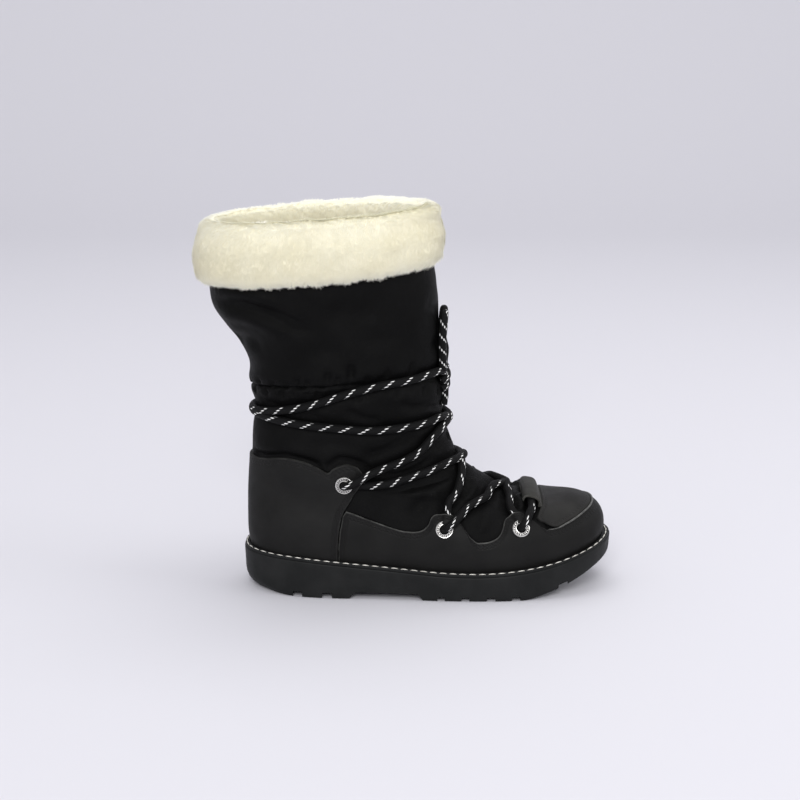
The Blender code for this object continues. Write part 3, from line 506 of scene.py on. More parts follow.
def finished(
    obj: bpy.types.Object,
    material: bpy.types.Material,
    replaces: tuple[str, ...] = (),
    sharp: float = 50.0,
) -> bpy.types.Object:
    """Dresses a piece, puts it on the boot's body and hides the CAD nodes that it stands for.

    Args:
        obj: The piece.
        material: Its finish.
        replaces: Names of CAD nodes.
        sharp: Angle in degrees from which an edge is drawn sharp.

    Returns:
        The piece.
    """
    obj.data.materials.append(material)
    obj.data.shade_smooth()
    obj.data.set_sharp_from_angle(angle=math.radians(sharp))
    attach(obj, BODY)
    if replaces:
        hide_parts(*replaces)
    LOG.info("%s: %d faces", obj.name, len(obj.data.polygons))
    return obj


# Finishes


class Nodes:
    """A material's node tree, with short calls for the nodes that the finishes use."""

    def __init__(self, name: str) -> None:
        self.material = bpy.data.materials.new(name)
        self.material.use_nodes = True
        self.tree = self.material.node_tree
        self.shader = self.tree.nodes["Principled BSDF"]
        self.coords = None

    def set(self, **values: float | tuple) -> None:
        """Sets sockets of the shader that are the same all over the surface."""
        for key, value in values.items():
            self.shader.inputs[key.replace("_", " ")].default_value = value

    def put(self, value: object, node: bpy.types.Node, place: int | str) -> None:
        """Links a socket to a node's input, or sets the input to a number or a colour."""
        if isinstance(value, bpy.types.NodeSocket):
            self.tree.links.new(value, node.inputs[place])
        elif isinstance(value, tuple):
            node.inputs[place].default_value = (*value, 1.0)
        else:
            node.inputs[place].default_value = value

    def new(self, kind: str, **inputs: object) -> bpy.types.Node:
        """A new node of a kind with some of its inputs linked or set."""
        node = self.tree.nodes.new(f"ShaderNode{kind}")
        for name, value in inputs.items():
            self.put(value, node, name)
        return node

    def object_place(self, scale: tuple[float, float, float] = (1, 1, 1)) -> bpy.types.NodeSocket:
        """Object coordinates, stretched."""
        if self.coords is None:
            self.coords = self.new("TexCoord")
        mapping = self.new("Mapping", Vector=self.coords.outputs["Object"])
        mapping.inputs["Scale"].default_value = scale
        return mapping.outputs["Vector"]

    def uv(self) -> tuple[bpy.types.NodeSocket, bpy.types.NodeSocket]:
        """The two coordinates of the piece's own UV map."""
        node = self.new("UVMap")
        node.uv_map = "UVMap"
        split = self.new("SeparateXYZ", Vector=node.outputs["UV"])
        return split.outputs["X"], split.outputs["Y"]

    def math(
        self, kind: str, first: object, second: object = 0.0, third: object = 0.0
    ) -> bpy.types.NodeSocket:
        """A sum of up to three sockets or numbers."""
        node = self.new("Math")
        node.operation = kind
        for place, value in enumerate((first, second, third)):
            self.put(value, node, place)
        return node.outputs[0]

    def noise(
        self, scale: float, detail: float = 3.0, stretch: tuple[float, float, float] = (1, 1, 1)
    ) -> bpy.types.NodeSocket:
        """Noise in the boot's own space, scale cells to the metre."""
        node = self.new("TexNoise", Scale=scale, Detail=detail, Vector=self.object_place(stretch))
        return node.outputs["Fac"]

    def cells(self, scale: float, feature: str = "DISTANCE_TO_EDGE") -> bpy.types.NodeSocket:
        """Small cells, as in a leather's grain."""
        node = self.new("TexVoronoi", Scale=scale, Vector=self.object_place())
        node.feature = feature
        return node.outputs["Distance"]

    def ramp(self, source: bpy.types.NodeSocket, *stops: tuple[float, float]) -> bpy.types.NodeSocket:
        """A number turned into another through stops of place and value."""
        node = self.new("ValToRGB", Fac=source)
        ends = node.color_ramp.elements
        while len(ends) < len(stops):
            ends.new(0.5)
        for element, (place, value) in zip(ends, stops):
            element.position = place
            element.color = (value, value, value, 1.0)
        return node.outputs["Color"]

    def mix(self, share: object, low: object, high: object) -> bpy.types.NodeSocket:
        """A blend of two colours, each a tuple or a socket."""
        node = self.new("Mix")
        node.data_type = "RGBA"
        for place, value in ((0, share), (6, low), (7, high)):
            self.put(value, node, place)
        return node.outputs[2]

    def colour(self, source: bpy.types.NodeSocket) -> None:
        """Links the shader's colour."""
        self.put(source, self.shader, "Base Color")

    def roughness(self, source: bpy.types.NodeSocket) -> None:
        """Links the shader's roughness."""
        self.put(source, self.shader, "Roughness")

    def bump(self, height: bpy.types.NodeSocket, distance: float, strength: float = 1.0) -> None:
        """Adds relief of a height in metres, over what was added before."""
        node = self.new("Bump", Distance=distance, Strength=strength, Height=height)
        before = self.shader.inputs["Normal"].links
        if before:
            self.put(before[0].from_socket, node, "Normal")
        self.put(node.outputs["Normal"], self.shader, "Normal")


@dataclass(frozen=True)
class NylonFinish:
    """Black satin nylon with a fine weave and small soft wrinkles."""

    colour: tuple[float, float, float] = (0.0022, 0.0022, 0.0022)
    worn: tuple[float, float, float] = (0.0036, 0.0036, 0.0036)
    weave: float = 2300.0  # threads to the metre

    def build(self) -> bpy.types.Material:
        """The material."""
        nodes = Nodes("nylon")
        nodes.set(Specular_IOR_Level=0.065)
        patches = nodes.ramp(nodes.noise(28.0), (0.35, 0.0), (0.68, 1.0))
        nodes.colour(nodes.mix(patches, self.colour, self.worn))
        nodes.roughness(nodes.ramp(nodes.noise(70.0), (0.3, 0.44), (0.7, 0.56)))
        nodes.bump(nodes.noise(95.0, 4.0, (1.0, 1.0, 0.6)), 0.0011, 0.55)
        nodes.bump(nodes.noise(420.0, 2.0), 0.00022, 0.5)
        across, up = nodes.uv()
        warp = nodes.math("SINE", nodes.math("MULTIPLY", across, self.weave * math.tau))
        weft = nodes.math("SINE", nodes.math("MULTIPLY", up, self.weave * math.tau))
        nodes.bump(nodes.math("MULTIPLY", warp, weft), 0.00006, 0.5)
        return nodes.material


@dataclass(frozen=True)
class LeatherFinish:
    """Black nubuck with a fine grain and a painted highlight along its edge, strong in patches and faint
    between them.

    The piece's UV runs along its edge and away from it, both in metres.
    """

    name: str
    colour: tuple[float, float, float] = (0.0062, 0.0061, 0.0059)
    worn: tuple[float, float, float] = (0.0095, 0.0094, 0.0090)
    # colour of the painted highlight along the piece's edge
    edge: tuple[float, float, float] = (0.034, 0.034, 0.032)
    edge_highlight_width: float = 0.0006
    stitch_rows: tuple[float, ...] = (0.0022, 0.0044)
    stitch_pitch: float = 0.0032
    stitch_groove: float = 0.0016
    stitch_thread: float = 0.0008
    grain: float = 1150.0  # cells to the metre

    def build(self) -> bpy.types.Material:
        """The material."""
        nodes = Nodes(self.name)
        nodes.set(Specular_IOR_Level=0.16, Sheen_Weight=0.006, Sheen_Roughness=0.4)
        patches = nodes.ramp(nodes.noise(34.0, 4.0), (0.36, 0.0), (0.66, 1.0))
        colour = nodes.mix(patches, self.colour, self.worn)
        along, inward = nodes.uv()
        # a painted highlight along the edge, broken into patches by noise
        near = nodes.ramp(nodes.math("DIVIDE", inward, self.edge_highlight_width * 2), (0.25, 1.0), (0.8, 0.0))
        edge_highlight_patches = nodes.ramp(nodes.noise(160.0, 3.0), (0.35, 0.25), (0.62, 1.0))
        nodes.colour(nodes.mix(nodes.math("MULTIPLY", near, edge_highlight_patches), colour, self.edge))
        nodes.roughness(nodes.ramp(nodes.noise(85.0, 3.0), (0.3, 0.50), (0.7, 0.64)))
        nodes.bump(nodes.noise(60.0, 3.0), 0.0006, 0.5)
        nodes.bump(nodes.cells(self.grain), 0.00020, 0.45)
        nodes.bump(nodes.noise(1900.0, 2.0), 0.00010, 0.4)
        dash = nodes.math("SINE", nodes.math("MULTIPLY", along, math.tau / self.stitch_pitch))
        dash = nodes.ramp(nodes.math("MULTIPLY_ADD", dash, 0.5, 0.5), (0.12, 0.0), (0.32, 1.0))
        for place in self.stitch_rows:
            away = nodes.math("ABSOLUTE", nodes.math("SUBTRACT", inward, place))
            groove = nodes.ramp(nodes.math("DIVIDE", away, self.stitch_groove), (0.0, 1.0), (0.7, 0.0))
            thread = nodes.ramp(nodes.math("DIVIDE", away, self.stitch_thread), (0.3, 1.0), (0.9, 0.0))
            lift = nodes.math("MULTIPLY", thread, dash)
            nodes.bump(nodes.math("SUBTRACT", lift, groove), 0.00045, 0.9)
        return nodes.material


@dataclass(frozen=True)
class RubberFinish:
    """Dark grey moulded rubber, a little dusty."""

    colour: tuple[float, float, float] = (0.0082, 0.0088, 0.0088)
    dusty: tuple[float, float, float] = (0.0135, 0.0140, 0.0140)

    def build(self) -> bpy.types.Material:
        """The material."""
        nodes = Nodes("rubber")
        nodes.set(Specular_IOR_Level=0.17)
        dust = nodes.ramp(nodes.noise(45.0, 5.0), (0.42, 0.0), (0.70, 1.0))
        nodes.colour(nodes.mix(dust, self.colour, self.dusty))
        nodes.roughness(nodes.ramp(nodes.noise(120.0, 3.0), (0.3, 0.48), (0.7, 0.62)))
        nodes.bump(nodes.noise(700.0, 3.0), 0.00016, 0.5)
        nodes.bump(nodes.noise(60.0, 2.0), 0.0004, 0.3)
        return nodes.material


@dataclass(frozen=True)
class PlushFinish:
    """Cream plush that is whiter at the tips of its pile."""

    name: str
    deep: tuple[float, float, float] = (0.850, 0.800, 0.600)
    tip: tuple[float, float, float] = (0.925, 0.895, 0.730)
    pile: float = 520.0

    def build(self) -> bpy.types.Material:
        """The material."""
        nodes = Nodes(self.name)
        nodes.set(Roughness=0.95, Specular_IOR_Level=0.12, Sheen_Weight=0.35, Sheen_Roughness=0.5)
        tufts = nodes.ramp(nodes.noise(self.pile, 3.0, (1.0, 1.0, 0.35)), (0.30, 0.0), (0.66, 1.0))
        # broad soft patches of painted shade, as in the hollows of a lumpy pile
        broad = nodes.ramp(nodes.noise(38.0, 2.0), (0.34, 0.25), (0.66, 1.0))
        nodes.colour(nodes.mix(nodes.math("MULTIPLY", tufts, broad), self.deep, self.tip))
        nodes.bump(nodes.noise(self.pile, 3.0, (1.0, 1.0, 0.4)), 0.0010, 0.35)
        nodes.bump(nodes.noise(130.0, 2.0), 0.0010, 0.3)
        return nodes.material


@dataclass(frozen=True)
class HairFinish:
    """The plush's single hairs, from a warm root to a paler tip.

    The UV's second place runs up each hair, and its first says how white the hair is: a painted highlight
    along the cuff's top, a whiter fringe at its lower edge and a little at random.
    """

    root: tuple[float, float, float] = (0.835, 0.785, 0.570)
    tip: tuple[float, float, float] = (0.935, 0.900, 0.710)
    # also the colour of the painted highlight along the cuff's top
    white: tuple[float, float, float] = (0.990, 0.980, 0.870)

    def build(self) -> bpy.types.Material:
        """The material."""
        nodes = Nodes("plush_hair")
        nodes.set(Roughness=0.9, Specular_IOR_Level=0.10, Sheen_Weight=0.2, Sheen_Roughness=0.5)
        whiteness_and_top_highlight, up = nodes.uv()
        # broad soft patches of painted shade, towards the root colour
        broad = nodes.ramp(nodes.noise(26.0, 2.0), (0.36, 0.0), (0.64, 1.0))
        height = nodes.math("MULTIPLY_ADD", up, 0.5, 0.5)
        shade = nodes.mix(nodes.math("MULTIPLY", height, broad), self.root, self.tip)
        nodes.colour(nodes.mix(whiteness_and_top_highlight, shade, self.white))
        nodes.bump(nodes.noise(900.0, 1.0), 0.0002, 0.3)
        return nodes.material


@dataclass(frozen=True)
class ThreadFinish:
    """A twisted thread."""

    name: str
    colour: tuple[float, float, float]
    shade: tuple[float, float, float]

    def build(self) -> bpy.types.Material:
        """The material."""
        nodes = Nodes(self.name)
        nodes.set(Roughness=0.6, Specular_IOR_Level=0.3, Sheen_Weight=0.1)
        soiled = nodes.ramp(nodes.noise(420.0, 3.0), (0.35, 0.0), (0.65, 1.0))
        nodes.colour(nodes.mix(soiled, self.shade, self.colour))
        nodes.bump(nodes.noise(2600.0, 2.0), 0.0002, 0.5)
        return nodes.material


@dataclass(frozen=True)
class LaceFinish:
    """A black braided lace with one white yarn that winds round it and shows as short dashes.

    The UV runs along the lace in turns of that yarn, and once round it.
    """

    name: str = "braid"
    black: tuple[float, float, float] = (0.0023, 0.0023, 0.0024)
    lit: tuple[float, float, float] = (0.0060, 0.0060, 0.0062)
    white: tuple[float, float, float] = (0.97, 0.97, 0.95)
    yarns: float = 2.0
    yarn: float = 0.112  # half the white yarn's width, in the pattern's turns
    reach: tuple[float, float] = (0.115, 0.165)  # how far round from its outermost line a dash shows; beyond it the white yarn is painted black, a painted shade on the lace's sides
    dots: float = 11.0  # places round the lace where the yarn comes up
    plait: tuple[float, float] = (18.0, 9.0)  # crossings of the plait along one turn, and round it

    def build(self) -> bpy.types.Material:
        """The material."""
        nodes = Nodes(self.name)
        nodes.set(Specular_IOR_Level=0.11, Sheen_Weight=0.006)
        along, round_it = nodes.uv()
        turn = nodes.math("ADD", along, round_it)
        turn = nodes.math("FRACT", nodes.math("MULTIPLY", turn, self.yarns))
        off = nodes.math("ABSOLUTE", nodes.math("SUBTRACT", turn, 0.5))
        on_yarn = nodes.ramp(nodes.math("DIVIDE", off, self.yarn * 2), (0.30, 1.0), (0.46, 0.0))
        wave = nodes.math("SINE", nodes.math("MULTIPLY", round_it, self.dots * math.tau))
        shown = nodes.ramp(nodes.math("MULTIPLY_ADD", wave, 0.5, 0.5), (0.50, 0.0), (0.62, 1.0))
        dash = nodes.math("MULTIPLY", on_yarn, shown)
        # past reach the white yarn is painted black: painted shade on the sides where the lace turns away
        side = nodes.math("ABSOLUTE", nodes.math("SUBTRACT", round_it, 0.5))
        dash = nodes.math("MULTIPLY", dash, nodes.ramp(side, (self.reach[0], 1.0), (self.reach[1], 0.0)))
        lengthwise = nodes.math("MULTIPLY", along, self.plait[0] * math.tau)
        crosswise = nodes.math("MULTIPLY", round_it, self.plait[1] * math.tau)
        left, right = (
            nodes.math("SINE", nodes.math(kind, lengthwise, crosswise)) for kind in ("ADD", "SUBTRACT")
        )
        plait = nodes.math("MULTIPLY_ADD", nodes.math("MULTIPLY", left, right), 0.5, 0.5)
        nodes.colour(nodes.mix(dash, nodes.mix(plait, self.black, self.lit), self.white))
        nodes.roughness(nodes.math("MULTIPLY_ADD", plait, -0.12, 0.62))
        nodes.bump(plait, 0.00035, 0.8)
        return nodes.material


@dataclass(frozen=True)
class MetalFinish:
    """Bright nickel with fine scratches."""

    name: str
    colour: tuple[float, float, float] = (0.82, 0.81, 0.78)

    def build(self) -> bpy.types.Material:
        """The material."""
        nodes = Nodes(self.name)
        nodes.set(Metallic=1.0)
        tarnish = nodes.ramp(nodes.noise(500.0, 4.0), (0.35, 0.55), (0.65, 1.0))
        dull = tuple(0.6 * value for value in self.colour)
        nodes.colour(nodes.mix(tarnish, dull, self.colour))
        nodes.roughness(nodes.ramp(nodes.noise(900.0, 3.0), (0.3, 0.22), (0.7, 0.38)))
        nodes.bump(nodes.noise(1400.0, 2.0), 0.00005, 0.4)
        return nodes.material


@dataclass(frozen=True)
class FloorFinish:
    """A pale studio floor."""

    colour: tuple[float, float, float] = (0.685, 0.68, 0.72)

    def build(self) -> bpy.types.Material:
        """The material."""
        nodes = Nodes("studio_floor")
        nodes.set(Roughness=0.7, Specular_IOR_Level=0.2)
        nodes.set(Base_Color=(*self.colour, 1.0))
        return nodes.material


class Finishes:
    """Every material of the boot, made once."""

    def __init__(self) -> None:
        self.nylon = NylonFinish().build()
        self.counter = LeatherFinish("counter_leather").build()
        self.rand = LeatherFinish(
            "rand_leather",
            colour=(0.0050, 0.0049, 0.0047),
            worn=(0.0078, 0.0077, 0.0073),
            # a brighter painted highlight along the rand's edge
            edge=(0.10, 0.10, 0.095),
        ).build()
        self.piping = ThreadFinish("rolled_edge", (0.105, 0.105, 0.099), (0.035, 0.035, 0.033)).build()
        self.plug = LeatherFinish(
            "toe_leather",
            colour=(0.0125, 0.0122, 0.0115),
            worn=(0.0185, 0.0180, 0.0168),
            # painted highlight along the toe plug's edge
            edge=(0.035, 0.035, 0.032),
            stitch_rows=(0.0030,),
        ).build()
        self.loop = LeatherFinish(
            "loop_leather",
            colour=(0.024, 0.0235, 0.0205),
            worn=(0.036, 0.0355, 0.031),
            # painted highlight along the loop's edge
            edge=(0.075, 0.073, 0.066),
            stitch_rows=(0.0016,),
        ).build()
        self.rubber = RubberFinish().build()
        self.plush = PlushFinish("plush").build()
        self.lining = PlushFinish("lining_fleece", deep=(0.56, 0.51, 0.39), tip=(0.72, 0.68, 0.57)).build()
        self.hair = HairFinish().build()
        self.welt_thread = ThreadFinish("welt_thread", (0.80, 0.78, 0.72), (0.50, 0.48, 0.43)).build()
        self.dark_thread = ThreadFinish("dark_thread", (0.075, 0.075, 0.070), (0.035, 0.035, 0.032)).build()
        self.braid = LaceFinish().build()
        # wider dashes on the bow, with less painted shade on its sides
        self.bow_braid = LaceFinish("bow_braid", reach=(0.20, 0.26)).build()
        self.metal = MetalFinish("nickel").build()
        self.dark_metal = MetalFinish("dark_nickel", (0.16, 0.155, 0.15)).build()


# The lace


class Side(Enum):
    """The side of the boot that a piece is on."""

    OUTER = "outer"
    INNER = "inner"


# Each point is its place around, its level and its height over the upper. The first or the last
# points go down through an eyelet's hole, or up under a leather tab.
BAR_HALF: Route = (
    (0.7292, 2.62, IN_HOLE), (0.7305, 2.66, 3.8), (0.7370, 2.76, 6.0), (0.7520, 3.02, OVER_RING + 0.2),
    (0.7740, 3.42, 6.2), (0.8060, 3.96, 3.9),
)
BAR_UNDER_KEEPER = (0.845, 0.88, 0.92, 0.96, 1.0)
BALL_TO_CROSSING: Route = (
    (0.7460, 3.05, 0.2), (0.7520, 3.62, 0.6), (0.7600, 4.15, LACE_REST), (0.8000, 5.00, LACE_REST),
    (0.9190, 6.75, LACE_REST), (1.0, 7.55, LACE_REST),
)
CROSSING_TO_WAIST: Route = (
    (0.906, 7.45, LACE_REST), (0.769, 5.83, LACE_REST), (0.675, 4.70, LACE_REST), (0.632, 4.05, 3.9),
    (0.595, 3.45, 5.8), (0.566, 2.98, OVER_RING + 0.2), (0.5515, 2.76, 5.8), (0.5440, 2.65, 3.8),
    (0.5420, 2.62, IN_HOLE),
)
WAIST_TO_CROSSING: Route = (
    (0.5580, 3.10, 0.2), (0.5740, 3.60, 0.6), (0.5920, 4.25, LACE_REST), (0.6250, 5.00, LACE_REST),
    (0.7190, 6.50, LACE_REST), (0.8750, 8.78, LACE_REST), (1.0, 10.15, LACE_REST),
)
CROSSING_TO_HEEL: Route = (
    (0.881, 9.95, LACE_REST), (0.794, 9.45, LACE_REST), (0.694, 8.70, LACE_REST),
    (0.606, 7.90, LACE_REST), (0.540, 7.30, LACE_REST), (0.480, 6.82, 1.0), (0.442, 6.58, 0.6),
    (0.405, 6.42, 0.2),
)
HEEL_TO_FRONT: Route = (
    (0.3620, 6.33, IN_HOLE), (0.3640, 6.37, 4.0), (0.3720, 6.50, 6.2), (0.3920, 6.74, OVER_RING + 0.7),
    (0.4250, 7.20, 6.9), (0.4700, 7.82, 6.2), (0.5100, 8.32, 4.2), (0.5810, 9.05, LACE_REST),
    (0.6880, 9.95, LACE_REST), (0.7690, 10.67, LACE_REST), (0.8380, 11.40, LACE_REST),
    (0.9000, 11.87, LACE_REST - 0.2), (1.0, 12.25, LACE_REST - 0.4),
)
LOWER_WRAP: Route = (
    (0.906, 12.40, LACE_REST - 0.2), (0.844, 12.27, LACE_REST), (0.713, 12.00, LACE_REST),
    (0.556, 11.70, LACE_REST), (0.469, 11.65, LACE_REST), (0.306, 11.50, LACE_REST),
    (0.175, 11.42, LACE_REST), (0.075, 11.40, LACE_REST), (0.0, 11.48, LACE_REST),
)
UPPER_WRAP: Route = (
    (0.075, 11.58, LACE_REST), (0.181, 12.00, LACE_REST), (0.338, 12.83, LACE_REST),
    (0.481, 13.60, LACE_REST), (0.631, 14.12, LACE_REST), (0.781, 14.33, LACE_REST),
    (0.880, 14.46, LACE_REST), (0.945, 14.42, LACE_REST + 0.6), (0.980, 14.25, LACE_REST + 1.2),
)
# x, y, z on the outer side: up from the knot, over the loop's tip and down, and on to the end
BOW: Route = (
    (148.0, -9.3, 165.0), (147.9, -9.8, 171.0), (147.7, -10.3, 179.0), (147.6, -10.9, 188.0),
    (148.0, -11.3, 197.0), (148.7, -10.4, 204.5), (149.1, -7.3, 207.6), (149.1, -4.3, 204.5),
    (148.6, -3.5, 197.0), (148.0, -3.3, 188.0), (147.9, -3.2, 178.0), (148.2, -3.2, 170.5),
    (148.8, -3.2, 164.5), (149.4, -3.3, 158.0), (149.7, -3.6, 152.0), (149.6, -4.3, 146.0),
    (149.3, -4.9, 138.0),
)
# The inner loop stands a little further off where it leaves the knot
INNER_LOOP_AT = 176.0
INNER_LOOP_OFF = 2.2
KNOT_TURNS = (
    (
        (147.0, -8.2, 156.5), (149.6, -6.8, 157.8), (151.4, -3.2, 159.3), (151.7, 0.5, 160.6),
        (150.6, 4.6, 162.4), (147.4, 7.8, 164.0),
    ),
    (
        (147.0, -7.8, 150.6), (149.9, -5.8, 152.0), (151.3, -2.0, 153.6), (151.3, 2.0, 154.6),
        (149.6, 5.8, 155.8), (147.0, 7.8, 157.0),
    ),
    (
        (147.0, -7.0, 169.6), (149.2, -5.4, 167.6), (150.4, -1.5, 166.4), (150.4, 2.0, 166.0),
        (149.0, 5.5, 167.2), (147.0, 6.8, 169.5),
    ),
)


@dataclass
class Lace:
    """The lace: its bar under the loop, its crossings, its turns round the shaft and its bow."""

    last: Last
    diameter: float = LACE_D
    step: float = 1.9
    sides: int = 16
    keeper_x: float = 213.4

    def routes(self) -> dict[str, tuple[Route, tuple[float, ...]]]:
        """The strands by name: each route, and the places around where it runs over another strand."""
        under = [(p, self.last.level_at_x(p, self.keeper_x), 2.8) for p in BAR_UNDER_KEEPER]
        under = tuple(under) + mirrored(tuple(under[-2::-1]))
        ball = BALL_TO_CROSSING + mirrored(CROSSING_TO_WAIST)
        waist = WAIST_TO_CROSSING + mirrored(CROSSING_TO_HEEL)
        wrap = HEEL_TO_FRONT + mirrored(LOWER_WRAP)
        wrap += tuple((2.0 + around, level, out) for around, level, out in UPPER_WRAP)
        return {
            "lace_front_bar": (BAR_HALF + under + mirrored(BAR_HALF)[::-1], ()),
            "lace_ball_strand_outer": (ball, (1.0,)),
            "lace_ball_strand_inner": (mirrored(ball), ()),
            "lace_waist_strand_outer": (waist, ()),
            "lace_waist_strand_inner": (mirrored(waist), (1.0,)),
            "lace_wrap_outer": (wrap, (1.0,)),
            "lace_wrap_inner": (mirrored(wrap), ()),
        }

    def path(self, route: Route, over: tuple[float, ...]) -> np.ndarray:
        """A strand's middle line, lifted where it runs over another one."""
        line = self.last.along(route, self.step)
        for place in over:
            level = next(level for around, level, _ in route if abs(around - place) < 1e-6)
            middle = self.last.at(place, level, LACE_REST)
            near = bell(np.linalg.norm(line - middle, axis=1), OVER_STRAND_REACH)
            away = unit(line - self._inside(line))
            line = line + away * (near * OVER_STRAND)[:, None]
        return line

    def _inside(self, line: np.ndarray) -> np.ndarray:
        """A point inside the boot for each point of a line, to lift it away from."""
        middle_x = np.interp(line[:, 2], (60.0, 100.0, 150.0), (150.0, 110.0, 78.0))
        return np.stack([middle_x, np.zeros(len(line)), line[:, 2] - 6.0], axis=1)

    def all_paths(self) -> dict[str, np.ndarray]:
        """Every strand's middle line."""
        return {name: self.path(route, over) for name, (route, over) in self.routes().items()}

    def build(self, finishes: Finishes) -> None:
        """Makes the strands on the upper."""
        stands_for = {
            "lace_front_bar": ("lace_bar",),
            "lace_ball_strand_outer": ("lace_cross_ball",),
            "lace_waist_strand_outer": ("lace_cross_waist",),
            "lace_wrap_outer": ("lace_wrap",),
        }
        for name, line in self.all_paths().items():
            outward = line - self._inside(line)
            outward = unit(outward) + np.outer(0.8 * np.tanh(line[:, 1] / 6.0), (0.0, 1.0, 0.0))
            bm = tube_mesh(line, self.diameter / 2, self.sides, LACE_PITCH, outward)
            finished(bare_object(name, bm), finishes.braid, stands_for.get(name, ()), 80)

    def build_knot(self, finishes: Finishes) -> bpy.types.Object:
        """The knot: three tight turns of lace over the two ends."""
        bm = bmesh.new()
        for turn in KNOT_TURNS:
            line = smooth_line(np.array(turn), 24)
            outward = np.column_stack([np.full(24, 0.5), np.tanh(line[:, 1]), np.full(24, 0.3)])
            add_to(bm, tube_mesh(line, KNOT_D / 2, self.sides, BOW_PITCH, outward))
        return finished(bare_object("lace_bow_knot", bm), finishes.bow_braid, ("lace_knot",), 80)

    def bow_line(self, side: Side) -> np.ndarray:
        """One side of the bow: its loop and the end that hangs from the knot."""
        knots = np.array(BOW)
        if side is Side.INNER:
            knots = knots * (1.0, -1.0, 1.0)
            knots[:, 0] += INNER_LOOP_OFF * bell(knots[:, 2] - INNER_LOOP_AT, 6.0)
        line = smooth_line(knots, 400)
        return resampled(line, round(run_of(line)[-1] / 1.5))

    def build_bow(self, finishes: Finishes) -> None:
        """The bow's two loops, each running on through the knot into one end of the lace."""
        knot = self.build_knot(finishes)
        for side in Side:
            line = self.bow_line(side)
            radius = np.full(len(line), self.diameter / 2)
            radius[-4:] = np.array((0.98, 0.9, 0.84, 0.8)) * self.diameter / 2
            facing = (0.6, -1.0 if side is Side.OUTER else 1.0, 0.25)
            bm = tube_mesh(line, radius, self.sides, BOW_PITCH, np.tile(facing, (len(line), 1)))
            obj = bare_object(f"lace_bow_{side.value}", bm)
            nodes = (f"lace_loop_{side.value}", f"lace_end_{side.value}")
            finished(obj, finishes.bow_braid, nodes, 80)


# The nylon upper


@dataclass(frozen=True)
class Crease:
    """A soft trough or ridge in the nylon.

    Attributes:
        places: Its line on the outer side, as around and level.
        width: How far it reaches to each side, in millimetres.
        depth: How deep it goes, or how high if it is negative.
        fade: Share of its length over which each end dies out.
    """

    places: Table
    width: float
    depth: float
    fade: float = 0.3


GATHER_SEAM: Table = (
    (0.0, 13.45), (0.056, 13.50), (0.125, 13.67), (0.206, 13.80), (0.275, 13.86), (0.400, 14.00),
    (0.525, 14.15), (0.670, 14.17), (0.800, 14.17), (0.900, 14.10), (1.0, 13.95),
)
# Puckers at the gathered seam: around, length up or down in levels, depth
PUCKERS = (
    (0.045, 0.55, 1.0), (0.085, -0.55, 1.1), (0.120, 0.60, 1.2), (0.160, -0.75, 1.3),
    (0.198, 0.50, 1.0), (0.237, -0.95, 1.5), (0.262, 0.45, 0.9), (0.285, -0.60, 1.1),
    (0.302, 0.75, 1.4), (0.345, 0.60, 1.2), (0.352, -0.70, 1.2), (0.394, -0.90, 1.6),
    (0.430, 1.05, 1.7), (0.452, -0.60, 1.1), (0.470, 0.70, 1.3), (0.503, -0.85, 1.5),
    (0.525, 1.30, 2.0), (0.556, -1.20, 1.8), (0.590, 0.55, 1.1), (0.622, -0.75, 1.3),
    (0.640, 0.50, 1.0), (0.669, 0.95, 1.6), (0.684, -0.60, 1.1), (0.722, 0.50, 1.0),
    (0.728, -0.85, 1.4), (0.775, 1.15, 1.8), (0.790, -0.60, 1.1), (0.832, 0.60, 1.1),
    (0.850, -0.80, 1.4), (0.900, 0.70, 1.2), (0.938, -0.85, 1.4), (0.965, 0.60, 1.0),
)
